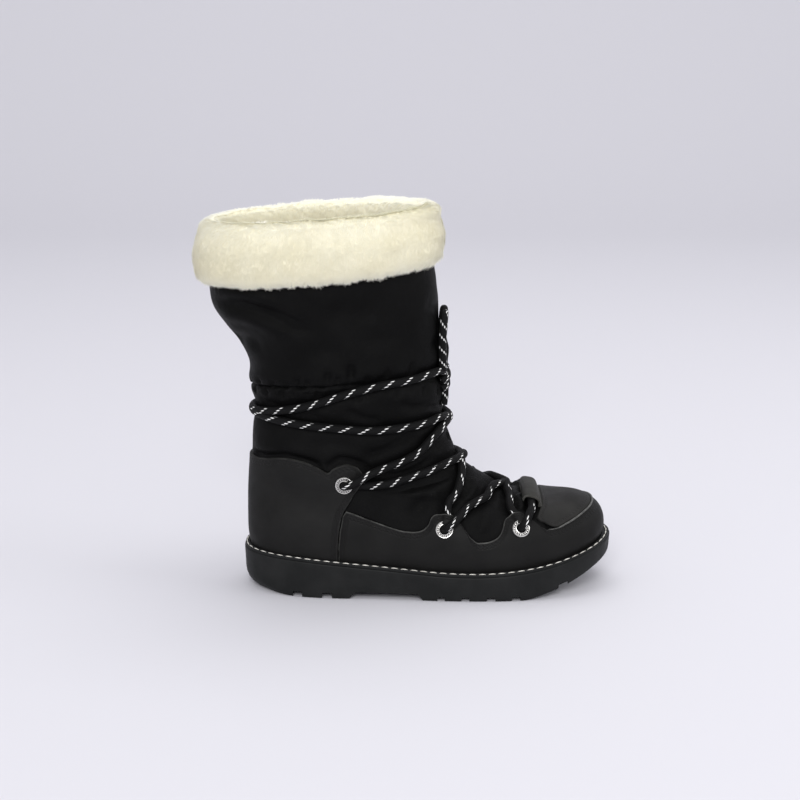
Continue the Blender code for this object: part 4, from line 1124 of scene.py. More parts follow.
CREASES = (
    # the long soft fold that falls from the collar's back corner
    Crease(
        ((0.085, 18.30), (0.175, 18.45), (0.287, 18.12), (0.344, 17.66), (0.394, 17.20), (0.470, 17.0)),
        5.5,
        2.6,
    ),
    Crease(((0.070, 18.85), (0.180, 19.0), (0.300, 18.72), (0.370, 18.2)), 6.0, -1.5),
    Crease(((0.060, 17.65), (0.160, 17.75), (0.280, 17.35), (0.350, 16.9)), 6.5, -1.4),
    Crease(((0.02, 16.1), (0.12, 16.3), (0.22, 16.15)), 6.0, 1.3),
    # slack in the upper panel
    Crease(((0.50, 18.3), (0.60, 17.9), (0.70, 17.8)), 9.0, 1.3),
    Crease(((0.56, 16.3), (0.66, 16.5), (0.76, 16.2)), 8.0, 1.2),
    Crease(((0.36, 15.6), (0.45, 15.9), (0.52, 15.7)), 7.0, 1.0),
    Crease(((0.86, 18.2), (0.93, 17.7), (0.98, 17.2)), 6.0, 1.2),
    Crease(((0.88, 16.0), (0.94, 15.8), (1.0, 15.9)), 5.0, 0.9),
    # above the counter and its tab
    Crease(((0.04, 7.5), (0.13, 7.9), (0.22, 8.62), (0.300, 8.45), (0.338, 7.95)), 3.0, 1.6, 0.12),
    Crease(((0.338, 7.9), (0.38, 8.6), (0.44, 9.35), (0.500, 9.10), (0.515, 8.1)), 3.2, 1.8, 0.15),
    Crease(((0.04, 8.3), (0.15, 8.8), (0.26, 9.3), (0.36, 9.4)), 7.0, -1.0),
    # under and over the strands at the instep
    Crease(((0.455, 6.15), (0.544, 6.75), (0.675, 7.75), (0.806, 8.85), (0.925, 9.7)), 4.2, 2.4, 0.15),
    Crease(((0.50, 5.5), (0.60, 6.1), (0.72, 7.1)), 6.0, -1.2),
    Crease(((0.52, 7.9), (0.62, 8.5), (0.74, 9.55), (0.84, 10.6)), 3.0, 1.5, 0.2),
    Crease(((0.50, 9.6), (0.60, 10.3), (0.70, 11.1), (0.80, 11.7)), 5.0, 1.6, 0.25),
    Crease(((0.30, 10.2), (0.42, 10.5), (0.54, 10.6)), 6.0, 0.9),
    Crease(((0.84, 10.9), (0.92, 11.3), (1.0, 11.4)), 3.5, 1.6, 0.15),
    # between the wraps
    Crease(((0.12, 12.55), (0.25, 12.1), (0.40, 12.25)), 3.2, 1.2, 0.2),
    Crease(((0.47, 12.9), (0.56, 12.4), (0.66, 12.35)), 4.0, 1.3),
    Crease(((0.70, 13.3), (0.78, 12.95), (0.88, 13.1)), 3.6, 1.3),
    Crease(((0.84, 13.0), (0.92, 12.85), (1.0, 12.9)), 3.0, 1.2),
    # folds that fan out from the waist eyelet's strand
    Crease(((0.90, 9.2), (0.80, 7.6), (0.70, 6.2), (0.61, 4.5)), 3.0, 2.0, 0.15),
    Crease(((0.93, 8.7), (0.83, 7.3), (0.735, 6.0), (0.66, 4.9)), 2.6, -1.2, 0.2),
    Crease(((0.47, 3.1), (0.52, 4.4), (0.60, 5.7)), 5.0, 1.2),
    Crease(((0.62, 2.4), (0.66, 3.3), (0.70, 4.3)), 4.0, -1.0),
)
# Ridges that stay full beside a lace
ROLLS = (
    Crease(
        ((0.780, 4.05), (0.800, 4.40), (0.832, 4.92), (0.893, 5.98), (0.95, 6.35), (1.0, 6.40)),
        2.9,
        -3.4,
        0.08,
    ),
)


@dataclass
class Upper:
    """The padded nylon shell and the fleece that lines it."""

    last: Last
    lace_paths: dict[str, np.ndarray]
    columns: int = 300
    rows_per_level: int = 11
    press_width: float = 6.0
    press_depth: float = 1.9
    shell: float = 2.1  # how far inside the last its inner face lies
    slack: float = 1.7  # how much stronger the creases are than their tables say
    gather: float = 1.9  # the same for the puckers
    seam_depth: float = 3.2  # of the groove along the gathered seam
    seam_width: float = 1.3
    puffs: Table = ((1.4, 6.0), (1.2, -6.0))  # height, and place above the gathered seam
    puff_width: float = 6.5
    level_height: float = 14.0  # of one level near the seam, in millimetres
    under_leather: float = 0.75  # how far the nylon lies inside the last there
    lowest: float = -2.0
    highest: float = 3.6

    def cover(self, around: np.ndarray, level: np.ndarray) -> np.ndarray:
        """How far the leather reaches above a place, in levels; less than 0 where the nylon shows."""
        side = both_sides(around)
        counter = table_curve(COUNTER_TOP, side)
        front = table_curve(COUNTER_FRONT, np.clip(level, 0.0, COUNTER_FRONT[-1][0]))
        rand = table_curve(RAND_TOP, side)
        top = np.where(side < front, counter, rand)
        places = np.linspace(PLUG_START, 1.0, 30)
        over_toe = np.interp(side, places, [self.last.level_at_x(a, PLUG_BACK) for a in places])
        top = np.where(side > PLUG_START, np.maximum(top, over_toe), top)
        return top - level

    def crease_height(self, points: np.ndarray, crease: Crease) -> np.ndarray:
        """A crease's share of the relief at points of the surface, on both sides of the boot."""
        total = np.zeros(len(points))
        for sign in (1, -1):
            places = tuple((a if sign > 0 else 2.0 - a, l, 0.0) for a, l in crease.places)
            line = self.last.along(places, 2.0)
            reach = crease.width * 2.6
            low = line.min(axis=0) - reach
            high = line.max(axis=0) + reach
            near = np.flatnonzero(((points > low) & (points < high)).all(axis=1))
            if not len(near):
                continue
            share = np.linspace(0, 1, len(line))
            fade = smooth_step(0, crease.fade, share) * smooth_step(0, crease.fade, 1 - share)
            apart = np.linalg.norm(points[near][:, None, :] - line[None], axis=2)
            best = apart.argmin(axis=1)
            distance = apart[np.arange(len(near)), best]
            total[near] = np.maximum(bell(distance, crease.width) * fade[best], total[near])
        return -crease.depth * total

    def pucker(self, place: tuple[float, float, float]) -> Crease:
        """The short crease of one pucker at the gathered seam."""
        around, length, depth = place
        seam = float(table_curve(GATHER_SEAM, around))
        lean = 0.006 if length > 0 else -0.008
        line = ((around, seam), (around + lean, seam + length * 0.5), (around + lean * 2.4, seam + length))
        return Crease(line, 1.9 + 0.9 * abs(length), depth, 0.45)

    def relief(self, around: np.ndarray, level: np.ndarray) -> np.ndarray:
        """Height of the nylon over the last at each place, in millimetres."""
        points = self.last.at(around, level).reshape(-1, 3)
        flat_level = level.ravel()
        side = both_sides(around).ravel()
        height = np.zeros(len(points))
        for crease in CREASES:
            height += self.crease_height(points, crease) * self.slack
        for place in PUCKERS:
            height += self.crease_height(points, self.pucker(place)) * self.gather
        off_seam = (flat_level - table_curve(GATHER_SEAM, side)) * self.level_height
        for puff, place in self.puffs:
            height += puff * bell(off_seam - place, self.puff_width)
        height -= self.seam_depth * bell(off_seam, self.seam_width)
        broad = np.sin(side * 23.0 + 0.7) * np.sin(flat_level * 1.15 + 0.4)
        height += 0.5 + 0.6 * broad * smooth_step(9.0, 11.0, flat_level)
        press = self.press(points)
        height = height * (1 - 0.8 * press) - self.press_depth * press
        for crease in ROLLS:
            height += self.crease_height(points, crease)
        covered = smooth_step(-0.02, 0.22, self.cover(around, level).ravel())
        height = height * (1 - covered) - self.under_leather * covered
        under_fur = smooth_step(19.0, 19.6, flat_level)
        height *= 1 - under_fur
        return np.clip(height, self.lowest, self.highest).reshape(around.shape)

    def press(self, points: np.ndarray) -> np.ndarray:
        """How much the lace presses on each point of the nylon, from 0 to 1."""
        middles = np.concatenate(list(self.lace_paths.values()))
        tree = KDTree(len(middles))
        for k, middle in enumerate(middles):
            tree.insert(middle, k)
        tree.balance()
        apart = np.array([tree.find(point)[2] for point in points])
        return bell(np.maximum(apart - LACE_REST, 0.0), self.press_width)

    def build(self, finishes: Finishes) -> None:
        """Makes the nylon shell and its lining."""
        around = np.linspace(0, 2, self.columns + 1)
        around = around - 0.20 * np.sin(math.tau * around) / (math.tau)
        level = np.linspace(0, self.last.top, self.last.top * self.rows_per_level + 1)
        columns, rows = np.meshgrid(around, level)
        outer = self.last.seated(columns, rows, self.relief(columns, rows))
        inner_level = np.linspace(self.last.top, 0, 43)
        columns_in, rows_in = np.meshgrid(around, inner_level)
        inner = self.last.seated(columns_in, rows_in, -self.shell)
        points = np.concatenate([outer, inner, outer[:1]])
        girth = run_of(outer[len(outer) // 2]) * MM
        height = np.concatenate([run_of(outer[:, 0]), np.linspace(300, 560, len(inner)), [561.0]]) * MM
        uv = np.stack(np.broadcast_arrays(girth[None, :], height[:, None]), axis=-1)
        bm = grid_mesh(points, uv)
        bmesh.ops.remove_doubles(bm, verts=bm.verts, dist=2e-6)
        bmesh.ops.recalc_face_normals(bm, faces=bm.faces)
        finished(bare_object("nylon_upper", bm), finishes.nylon, ("upper",), 75)
        self.build_lining(finishes)

    def build_lining(self, finishes: Finishes) -> None:
        """The fleece inside, from the collar down to the footbed."""
        around = np.linspace(0, 2, 141)
        level = np.linspace(0.25, 19.6, 90)
        columns, rows = np.meshgrid(around, level)
        near = self.last.seated(columns, rows, -UPPER_WALL)
        far = self.last.seated(columns, rows, -self.shell - 0.15)
        points = np.concatenate([near, far[::-1], near[:1]])
        bm = close_mesh(grid_mesh(points))
        finished(bare_object("fleece_lining", bm), finishes.lining, (), 75)


# Leather


def toe_fullness(last: Last, around: np.ndarray, level: np.ndarray) -> np.ndarray:
    """How far the leather is puffed out over the front of the toes, in millimetres."""
    points = last.at(around, level)
    along, across = TOE_PUFF_REACH
    near = ((points[..., 0] - TOE_FULLEST) / along) ** 2 + (points[..., 1] / across) ** 2
    return TOE_PUFF * np.exp(-near) * smooth_step(46.0, 62.0, points[..., 2])


@dataclass
class Leather:
    """The heel counter, the rand round the foot and the toe plug."""

    last: Last
    lace_paths: dict[str, np.ndarray]
    edge_radius: float = 1.1
    hole_radius: float = 3.35
    hole_length: float = 16.0
    tunnel_height: float = 4.6
    tunnel_width: float = 5.2
    tunnel_points: int = 8  # of each end of a strand that run behind the leather
    eyelets: tuple[tuple[str, float, float, float], ...] = (
        ("heel", 0.362, 6.33, COUNTER_THICK),
        ("waist", 0.542, 2.62, RAND_THICK),
        ("ball", 0.729, 2.62, RAND_THICK),
    )

    def patch(
        self,
        around: np.ndarray,
        level: np.ndarray,
        gap: float,
        thick: float,
        open_bottom: bool,
    ) -> bmesh.types.BMesh:
        """A plate of leather on the upper with rounded edges.

        Args:
            around: Rows and columns of places; a row runs along the piece, a column from its lower edge up.
            level: The same.
            gap: Its height over the upper.
            thick: Its thickness.
            open_bottom: True where the welt hides the lower edge, so that it isn't rounded.

        Returns:
            The closed mesh. Its UV runs along its edge and away from it, in metres.
        """
        base = self.last.seated(around, level, gap)
        up = grid_run(base, 0)
        on = grid_run(base, 1)
        from_top = up[-1:] - up
        from_ends = np.minimum(on, on[:, -1:] - on)
        edge = np.minimum(from_top, from_ends)
        if not open_bottom:
            edge = np.minimum(edge, up)
        share = np.clip(edge / self.edge_radius, 0, 1)
        rounded = np.sqrt(1 - (1 - share) ** 2)
        out = gap + thick * (0.30 + 0.70 * rounded) + toe_fullness(self.last, around, level)
        out = np.maximum(out, self.tunnel(around, level) * (0.8 + 0.2 * rounded))
        outer = self.last.seated(around, level, out)
        uv = np.stack([on, edge], axis=-1) * MM
        return shell_between(outer, base, uv)

    def tunnel(self, around: np.ndarray, level: np.ndarray) -> np.ndarray:
        """Height that the leather is pushed up to by the lace that runs behind it."""
        points = self.last.at(around, level).reshape(-1, 3)
        out = np.zeros(len(points))
        for name, line in self.lace_paths.items():
            if "strand" not in name:
                continue
            for end in (line[: self.tunnel_points], line[-self.tunnel_points :]):
                near = np.flatnonzero(np.linalg.norm(points - end[3], axis=1) < 22.0)
                if not len(near):
                    continue
                apart = np.linalg.norm(points[near][:, None, :] - end[None], axis=2)
                best = apart.min(axis=1)
                lift = self.tunnel_height * np.exp(-((best / self.tunnel_width) ** 4))
                out[near] = np.maximum(out[near], lift)
        return out.reshape(around.shape)

    def cut_holes(self, obj: bpy.types.Object, names: tuple[str, ...]) -> None:
        """Cuts the holes of some eyelets, on both sides of the boot."""
        cutters = []
        for name, around, level, _ in self.eyelets:
            if name not in names:
                continue
            for place in (around, 2 - around):
                cutters.append(self.peg(place, level))
        cut_with(obj, cutters)

    def peg(self, around: float, level: float) -> bpy.types.Object:
        """A round bar straight through the surface at a place on it, as thick as an eyelet's hole."""
        bm = bmesh.new()
        radius = self.hole_radius * MM
        bmesh.ops.create_cone(
            bm, cap_ends=True, segments=40, radius1=radius, radius2=radius, depth=self.hole_length * MM
        )
        bmesh.ops.transform(bm, matrix=stand_at(self.last, around, level, 0.0), verts=bm.verts)
        return bare_object("peg", bm)

    def crowded(self, count: int, near: float = 0.55) -> np.ndarray:
        """Shares from 0 to 1 that lie closer together at both ends."""
        t = np.linspace(0, 1, count)
        return t - near * np.sin(math.tau * t) / (math.tau)

    def build_counter(self, finishes: Finishes) -> None:
        """The heel counter with its two eyelet tabs."""
        end = COUNTER_TOP[-1][0]
        place = -end + 2 * end * self.crowded(301, 0.35)
        top = table_curve(COUNTER_TOP, np.abs(place))
        front = np.array(COUNTER_FRONT)
        up = 1 - (1 - np.linspace(0, 1, 64)) ** 1.35
        lean_to = curve_through(front[:, 0] / front[-1, 0], front[:, 1], up)
        lean = (lean_to - front[0, 1]) / (front[-1, 1] - front[0, 1])
        foot = place * front[0, 1] / front[-1, 1]
        around = foot[None, :] + (place - foot)[None, :] * lean[:, None]
        level = up[:, None] * top[None, :]
        bm = self.patch(around, level, LEATHER_GAP, COUNTER_THICK, True)
        obj = bare_object("counter_leather", bm)
        self.cut_holes(obj, ("heel",))
        finished(obj, finishes.counter, ("heel_counter",), 60)

    def build_rand(self, finishes: Finishes) -> None:
        """The rand from the counter round the toe, with its eyelet tabs."""
        start = RAND_TOP[0][0]
        place = start + (2 - 2 * start) * np.linspace(0, 1, 620)
        side = both_sides(place)
        top = table_curve(RAND_TOP, side)
        back = np.array(COUNTER_FRONT)
        up = 1 - (1 - np.linspace(0, 1, 34)) ** 1.35
        level = up[:, None] * top[None, :]
        edge = np.interp(level, back[:, 0], back[:, 1]) + 0.0016
        lean = np.clip(1 - (side - start) / 0.09, 0.0, 1.0)[None, :]
        line = side[None, :] + lean * (edge - start)
        around = np.where(place[None, :] <= 1, line, 2 - line)
        bm = self.patch(around, level, LEATHER_GAP, RAND_THICK, True)
        obj = bare_object("rand_leather", bm)
        self.cut_holes(obj, ("waist", "ball"))
        finished(obj, finishes.rand, ("toe_rand",), 60)

    def build_plug(self, finishes: Finishes) -> None:
        """The leather on top of the toes and the raised seam round it."""
        start = PLUG_START
        around = start + (2 - 2 * start) * self.crowded(150, 0.4)
        side = both_sides(around)
        seam = table_curve(RAND_TOP, side) + 0.06 + 0.55 * bell(side - start, 0.013)
        back_x = np.interp(side, (start, 0.86), (217.0, 221.7))
        back = np.array([self.last.level_at_x(a, x) for a, x in zip(around, back_x)])
        back = np.maximum(back, seam + 0.05)
        up = self.crowded(60, 0.5)
        level = seam[None, :] + up[:, None] * (back - seam)[None, :]
        columns = np.repeat(around[None, :], len(up), axis=0)
        bm = self.patch(columns, level, PLUG_GAP, PLUG_THICK, False)
        finished(bare_object("toe_leather", bm), finishes.plug, ("toe_plug",), 60)
        self.build_seam(finishes)

    def build_seam(self, finishes: Finishes) -> None:
        """The raised seam where the rand meets the toe plug."""
        start = PLUG_START + 0.002
        around = np.linspace(start, 2 - start, 260)
        level = table_curve(RAND_TOP, both_sides(around)) - 0.02
        ends = smooth_step(0.0, 0.06, np.minimum(around - start, 2 - start - around))
        out = RAND_THICK + LEATHER_GAP + 0.65 * ends + toe_fullness(self.last, around, level)
        line = self.last.at(around, level, out)
        radius = 0.30 + 0.40 * ends
        bm = tube_mesh(line, radius, 10, 1000.0)
        finished(bare_object("moccasin_seam", bm), finishes.piping, (), 80)

    def build(self, finishes: Finishes) -> None:
        """Makes the three leather pieces."""
        self.build_counter(finishes)
        self.build_rand(finishes)
        self.build_plug(finishes)


def stand_at(last: Last, around: float, level: float, out: float) -> Matrix:
    """A turn and a place that stand a shape made about +Z straight up on the upper's surface."""
    foot = placed(last.at(around, level, out))
    away = Vector(last.normal(around, level))
    return Matrix.Translation(Vector(foot)) @ away.to_track_quat("Z", "Y").to_matrix().to_4x4()


@dataclass
class Eyelets:
    """Six rolled metal rings with a ring of small raised dots."""

    last: Last
    places: tuple[tuple[str, float, float, float], ...]
    # radius, height
    profile: Table = (
        (3.30, -1.4), (3.30, 0.95), (3.42, 1.35), (3.72, 1.56), (4.05, 1.48), (4.22, 1.22),
        (5.50, 1.14), (5.68, 1.40), (6.00, 1.46), (6.32, 1.22), (6.55, 0.75), (6.60, 0.10),
        (6.30, 0.00), (3.55, 0.00), (3.55, -1.4),
    )
    dots: int = 18
    dot_ring: float = 4.86
    dot_radius: float = 0.48
    seat: float = 0.3

    def ring(self) -> bmesh.types.BMesh:
        """One eyelet about the z axis, in metres."""
        bm = bmesh.new()
        corners = [bm.verts.new((r * MM, 0.0, h * MM)) for r, h in self.profile]
        edges = [bm.edges.new(pair) for pair in zip(corners, corners[1:] + corners[:1])]
        bmesh.ops.spin(
            bm,
            geom=corners + edges,
            cent=(0, 0, 0),
            axis=(0, 0, 1),
            angle=math.tau,
            steps=56,
            use_merge=True,
        )
        bmesh.ops.recalc_face_normals(bm, faces=bm.faces)
        for face in bm.faces:
            middle = face.calc_center_median()
            reach = math.hypot(middle.x, middle.y) / MM
            if 4.25 < reach < 5.48 and middle.z > MM:
                face.material_index = 1
        for k in range(self.dots):
            turn = math.tau * k / self.dots
            spot = (self.dot_ring * MM * math.cos(turn), self.dot_ring * MM * math.sin(turn), 1.2 * MM)
            matrix = Matrix.Translation(spot) @ Matrix.Diagonal((1, 1, 0.6, 1))
            bmesh.ops.create_icosphere(bm, subdivisions=1, radius=self.dot_radius * MM, matrix=matrix)
        return bm

    def build(self, finishes: Finishes) -> None:
        """Sets an eyelet at each place, on both sides."""
        for name, around, level, leather in self.places:
            for side in Side:
                place = around if side is Side.OUTER else 2 - around
                bm = self.ring()
                matrix = stand_at(self.last, place, level, GAP + leather + self.seat)
                bmesh.ops.transform(bm, matrix=matrix, verts=bm.verts)
                node = f"eyelet_{name}_{side.value}"
                obj = finished(bare_object(f"ring_{name}_{side.value}", bm), finishes.metal, (node,), 40)
                obj.data.materials.append(finishes.dark_metal)


# The loop on the vamp


@dataclass
class VampLoop:
    """The leather loop that the front bar of the lace runs through."""

    last: Last
    ends: tuple[float, float] = (0.850, 1.122)
    # x, height over the upper
    inside: Table = (
        (221.0, 0.35), (218.6, 0.5), (218.7, 3.6), (217.1, 5.6), (214.0, 6.4), (210.6, 6.3),
        (208.6, 5.4), (208.0, 3.6), (208.0, 0.9),
    )
    outside: Table = (
        (222.0, 0.6), (221.7, 2.0), (220.0, 2.4), (219.8, 4.2), (218.1, 6.5), (215.5, 7.5),
        (211.4, 7.6), (208.2, 6.7), (206.8, 4.2), (206.6, 1.0),
    )

    def grid(self, section: Table, columns: np.ndarray, rows: int) -> np.ndarray:
        """Points of one face of the loop."""
        knots = np.linspace(0, 1, len(section))
        fine = curve_through(knots, np.array(section), np.linspace(0, 1, rows))
        points = []
        for place in columns:
            levels = [self.last.level_at_x(place, x) for x, _ in fine]
            points.append(self.last.at(place, levels, fine[:, 1]))
        return np.array(points).transpose(1, 0, 2)

    def build(self, finishes: Finishes) -> None:
        """Makes the loop and the stitches round its base."""
        places = np.linspace(*self.ends, 70)
        outer = self.grid(self.outside, places, 60)
        inner = self.grid(self.inside, places, 60)
        on = run_of(outer[:, len(places) // 2])
        across = run_of(outer[len(outer) // 2])
        edge = np.minimum(across, across[-1] - across)
        edge = np.minimum(edge[None, :], np.minimum(on, on[-1] - on)[:, None])
        uv = np.stack([np.broadcast_to(on[:, None], edge.shape), edge], axis=-1) * MM
        bm = shell_between(outer, inner, uv)
        finished(bare_object("vamp_loop_leather", bm), finishes.loop, ("vamp_loop",), 45)
        self.build_stitches(finishes)

    def build_stitches(self, finishes: Finishes) -> None:
        """A row of pale stitches on the loop's base."""
        bm = bmesh.new()
        places = np.linspace(self.ends[0] + 0.012, self.ends[1] - 0.012, 23)
        for first, second in zip(places[:-1], places[1:]):
            span = np.linspace(first, first + (second - first) * 0.62, 4)
            levels = [self.last.level_at_x(a, 220.5) for a in span]
            line = self.last.at(span, levels, (2.0, 2.5, 2.5, 2.0))
            add_to(bm, tube_mesh(line, 0.32, 6, 1.0))
        finished(bare_object("vamp_loop_stitches", bm), finishes.dark_thread, (), 80)


# Fur


def hair_mesh(base: np.ndarray, tip: np.ndarray, width: np.ndarray, white: np.ndarray) -> bmesh.types.BMesh:
    """Flat hairs in one mesh, each a narrow face from its base to its tip.

    Args:
        base: Where each hair starts, in millimetres.
        tip: Where it ends.
        width: The direction across it, as long as half its width.
        white: How white it is, from 0 to 1, which carries the painted highlight along the cuff's top.

    Returns:
        The mesh. Its UV holds how white the hair is, painted highlight included, and runs up it.
    """
    count = len(base)
    strip = np.empty((2, 2 * count, 3))
    for line, (place, share) in enumerate(((base, 1.0), (tip, 0.25))):
        strip[line, 0::2] = place + width * share
        strip[line, 1::2] = place - width * share
    uv = np.zeros((2, 2 * count, 2))
    uv[1, :, 1] = 1.0
    uv[..., 0] = np.repeat(white, 2)[None, :]
    bm = grid_mesh(strip, uv)
    between = [face for face in bm.faces if min(v.index for v in face.verts) % (2 * count) % 2]
    bmesh.ops.delete(bm, geom=between, context="FACES_ONLY")
    loose = [edge for edge in bm.edges if not edge.link_faces]
    bmesh.ops.delete(bm, geom=loose, context="EDGES")
    return bm


@dataclass
class FurCuff:
    """The folded plush: a soft body with short hairs all over it."""

    last: Last
    columns: int = 260
    rows: int = 130
    outer_hairs: int = 95000
    inner_hairs: int = 45000
    pile: float = 1.5  # how far the hairs stand off the body
    crest: float = 1.6  # how much further they do on top
    top_highlight_spread: tuple[float, float] = (0.15, 0.07)  # of the painted highlight along its top, outside and inside
    # Each pair is the least, and what chance adds at most
    hair_length: tuple[float, float] = (2.7, 1.3)
    hair_width: tuple[float, float] = (0.17, 0.09)
    stand: tuple[float, float] = (0.27, 0.18)  # how steeply the hairs stand off the body
    hair_depth: float = 0.5  # how far they start inside it
    bottom: Table = ((0.0, 19.28), (0.5, 19.48), (1.0, 19.82))
    gap: float = 0.8
    front_slimmer: float = 0.24
    outside: Table = ((-0.02, 3.5), (0.02, 7.6), (0.10, 10.6), (0.25, 12.2), (0.60, 12.8), (1.0, 8.9))
    over: Table = ((6.2, 6.0), (9.9, 1.7), (11.2, -3.4), (8.6, -8.6))
    inside: Table = ((20.8, -11.6), (19.6, -11.2), (18.9, -7.6), (18.8, -4.0))

    def body_points(self, around: np.ndarray) -> np.ndarray:
        """Rows of points round the cuff's section, for each place around."""
        side = both_sides(around)
        bottom = table_curve(self.bottom, side)
        fuller = 1 - self.front_slimmer * side**2
        top = self.last.top
        rings = [self.last.at(around, bottom, self.gap)]
        for share, out in self.outside:
            rings.append(self.last.at(around, bottom + share * (top - bottom), out * fuller))
        for lift, out in self.over:
            rings.append(self.last.at(around, top, out) + (0, 0, lift))
        for level, out in self.inside:
            rings.append(self.last.at(around, level, out))
        columns = np.array(rings).transpose(1, 0, 2)
        return np.stack([smooth_line(column, self.rows) for column in columns], axis=1)

    def lumps(self, points: np.ndarray) -> np.ndarray:
        """Soft hollows and swellings of the plush, in millimetres."""
        x, y, z = points[..., 0], points[..., 1], points[..., 2]
        height = 0.55 * np.sin(x * 0.115 + z * 0.05 + 0.6) * np.sin(z * 0.13 + y * 0.06)
        height += 0.40 * np.sin(x * 0.27 - z * 0.16 + 2.0) * np.sin(y * 0.21 + z * 0.19 + 1.0)
        height += 0.22 * np.sin(x * 0.61 + y * 0.4 + z * 0.33) * np.sin(z * 0.57 - y * 0.5)
        return height

    def surface(self) -> tuple[np.ndarray, np.ndarray]:
        """The body's points and the directions off them."""
        around = np.linspace(0, 2, self.columns + 1)
        points = self.body_points(around)
        normals = ring_normals(points)
        inset = self.pile + self.crest * np.maximum(normals[..., 2], 0.0)
        return points + normals * (self.lumps(points) - inset)[..., None], normals

    def build(self, finishes: Finishes) -> None:
        """Makes the body and its hairs."""
        points, normals = self.surface()
        around = np.linspace(0, 2, self.columns + 1)
        over_collar = [
            self.last.at(around, self.last.top, out) + (0, 0, self.gap)
            for out in (-UPPER_WALL - self.gap, self.gap)
        ]
        ring = np.concatenate([points, over_collar, points[:1]])
        bm = close_mesh(grid_mesh(ring))
        finished(bare_object("plush_cuff", bm), finishes.plush, ("fur_cuff",), 80)
        random = np.random.default_rng(RANDOM_SEED)
        run = run_of(points[:, 0])
        fold = run[np.argmax(points[:, 0, 2])] / run[-1]
        for name, span, count in (
            ("plush_hairs_outside", (0.0, fold), self.outer_hairs),
            ("plush_hairs_inside", (fold, 0.96), self.inner_hairs),
        ):
            self.build_hairs(name, (points, normals), span, fold, count, random, finishes)

    def build_hairs(
        self,
        name: str,
        body: tuple[np.ndarray, np.ndarray],
        span: tuple[float, float],
        crest_at: float,
        count: int,
        random: np.random.Generator,
        finishes: Finishes,
    ) -> None:
        """Covers part of the body with short flat hairs.

        Args:
            name: Name of the piece.
            body: The body's points and the directions off them.
            span: Shares of the section that it covers, from the cuff's lower outside edge.
            crest_at: Share of the section at its highest place, where the hairs part.
            count: Number of hairs.
            random: Source of their scatter.
            finishes: The materials.
        """
        points, normals = body
        rows, columns = points.shape[:2]
        row = (span[0] + (span[1] - span[0]) * random.random(count)) * (rows - 1.001)
        column = random.random(count) * (columns - 1.001)
        r, c = row.astype(int), column.astype(int)
        share = row / rows
        root = read_grid(points, row, column)
        away = unit(read_grid(normals, row, column))
        down = unit(points[np.maximum(r - 1, 0), c] - points[r + 1, c])
        down = down * np.where(share < crest_at, 1.0, -1.0)[:, None]
        along = unit(np.cross(away, down))
        x, y, z = root.T
        clump = np.sin(x * 0.9 + y * 0.7) + np.sin(z * 0.55 + x * 0.33)
        sway = 0.06 * clump + 0.32 * random.standard_normal(count) - 0.15
        low = smooth_step(0.15, 0.02, share)
        lean = down * (0.9 + 0.6 * low)[:, None] + along * sway[:, None]
        spread = np.where(share < crest_at, *self.top_highlight_spread)
        crest = bell(share - crest_at, spread)
        stand = (self.stand[0] + self.stand[1] * random.random(count) - 0.08 * low)[:, None]
        heading = unit(lean + away * stand)
        tuft = 0.5 + 0.5 * np.sin(x * 0.55 + 1.0) * np.sin(x * 0.21 + y * 0.3)
        length = self.hair_length[0] + self.hair_length[1] * random.random(count)
        length = (length * (1 + (0.55 + 1.1 * tuft) * low))[:, None]
        base = root - away * self.hair_depth
        width = (self.hair_width[0] + self.hair_width[1] * random.random(count))[:, None]
        width = unit(np.cross(away, heading)) * width
        # whiter hairs: a painted highlight along the crest where the light falls, a whiter fringe at the
        # lower edge, and a little at random
        white = np.clip(0.9 * crest + 0.8 * low + 0.10 * random.random(count), 0.0, 1.0)
        bm = hair_mesh(base, base + heading * length, width, white)
        obj = finished(bare_object(name, bm), finishes.hair, (), 180)
        shading = away + 0.25 * heading + 0.10 * along * sway[:, None] + crest[:, None] * (0.0, 0.0, 0.8)
        self.soften(obj, np.repeat(unit(shading), 2, axis=0))

    def soften(self, obj: bpy.types.Object, normals: np.ndarray) -> None:
        """Shades each hair much like the plush under it, so that the pile looks smooth."""
        both = np.tile(normals, (len(obj.data.vertices) // len(normals), 1))
        obj.data.normals_split_custom_set_from_vertices(both)


# The sole


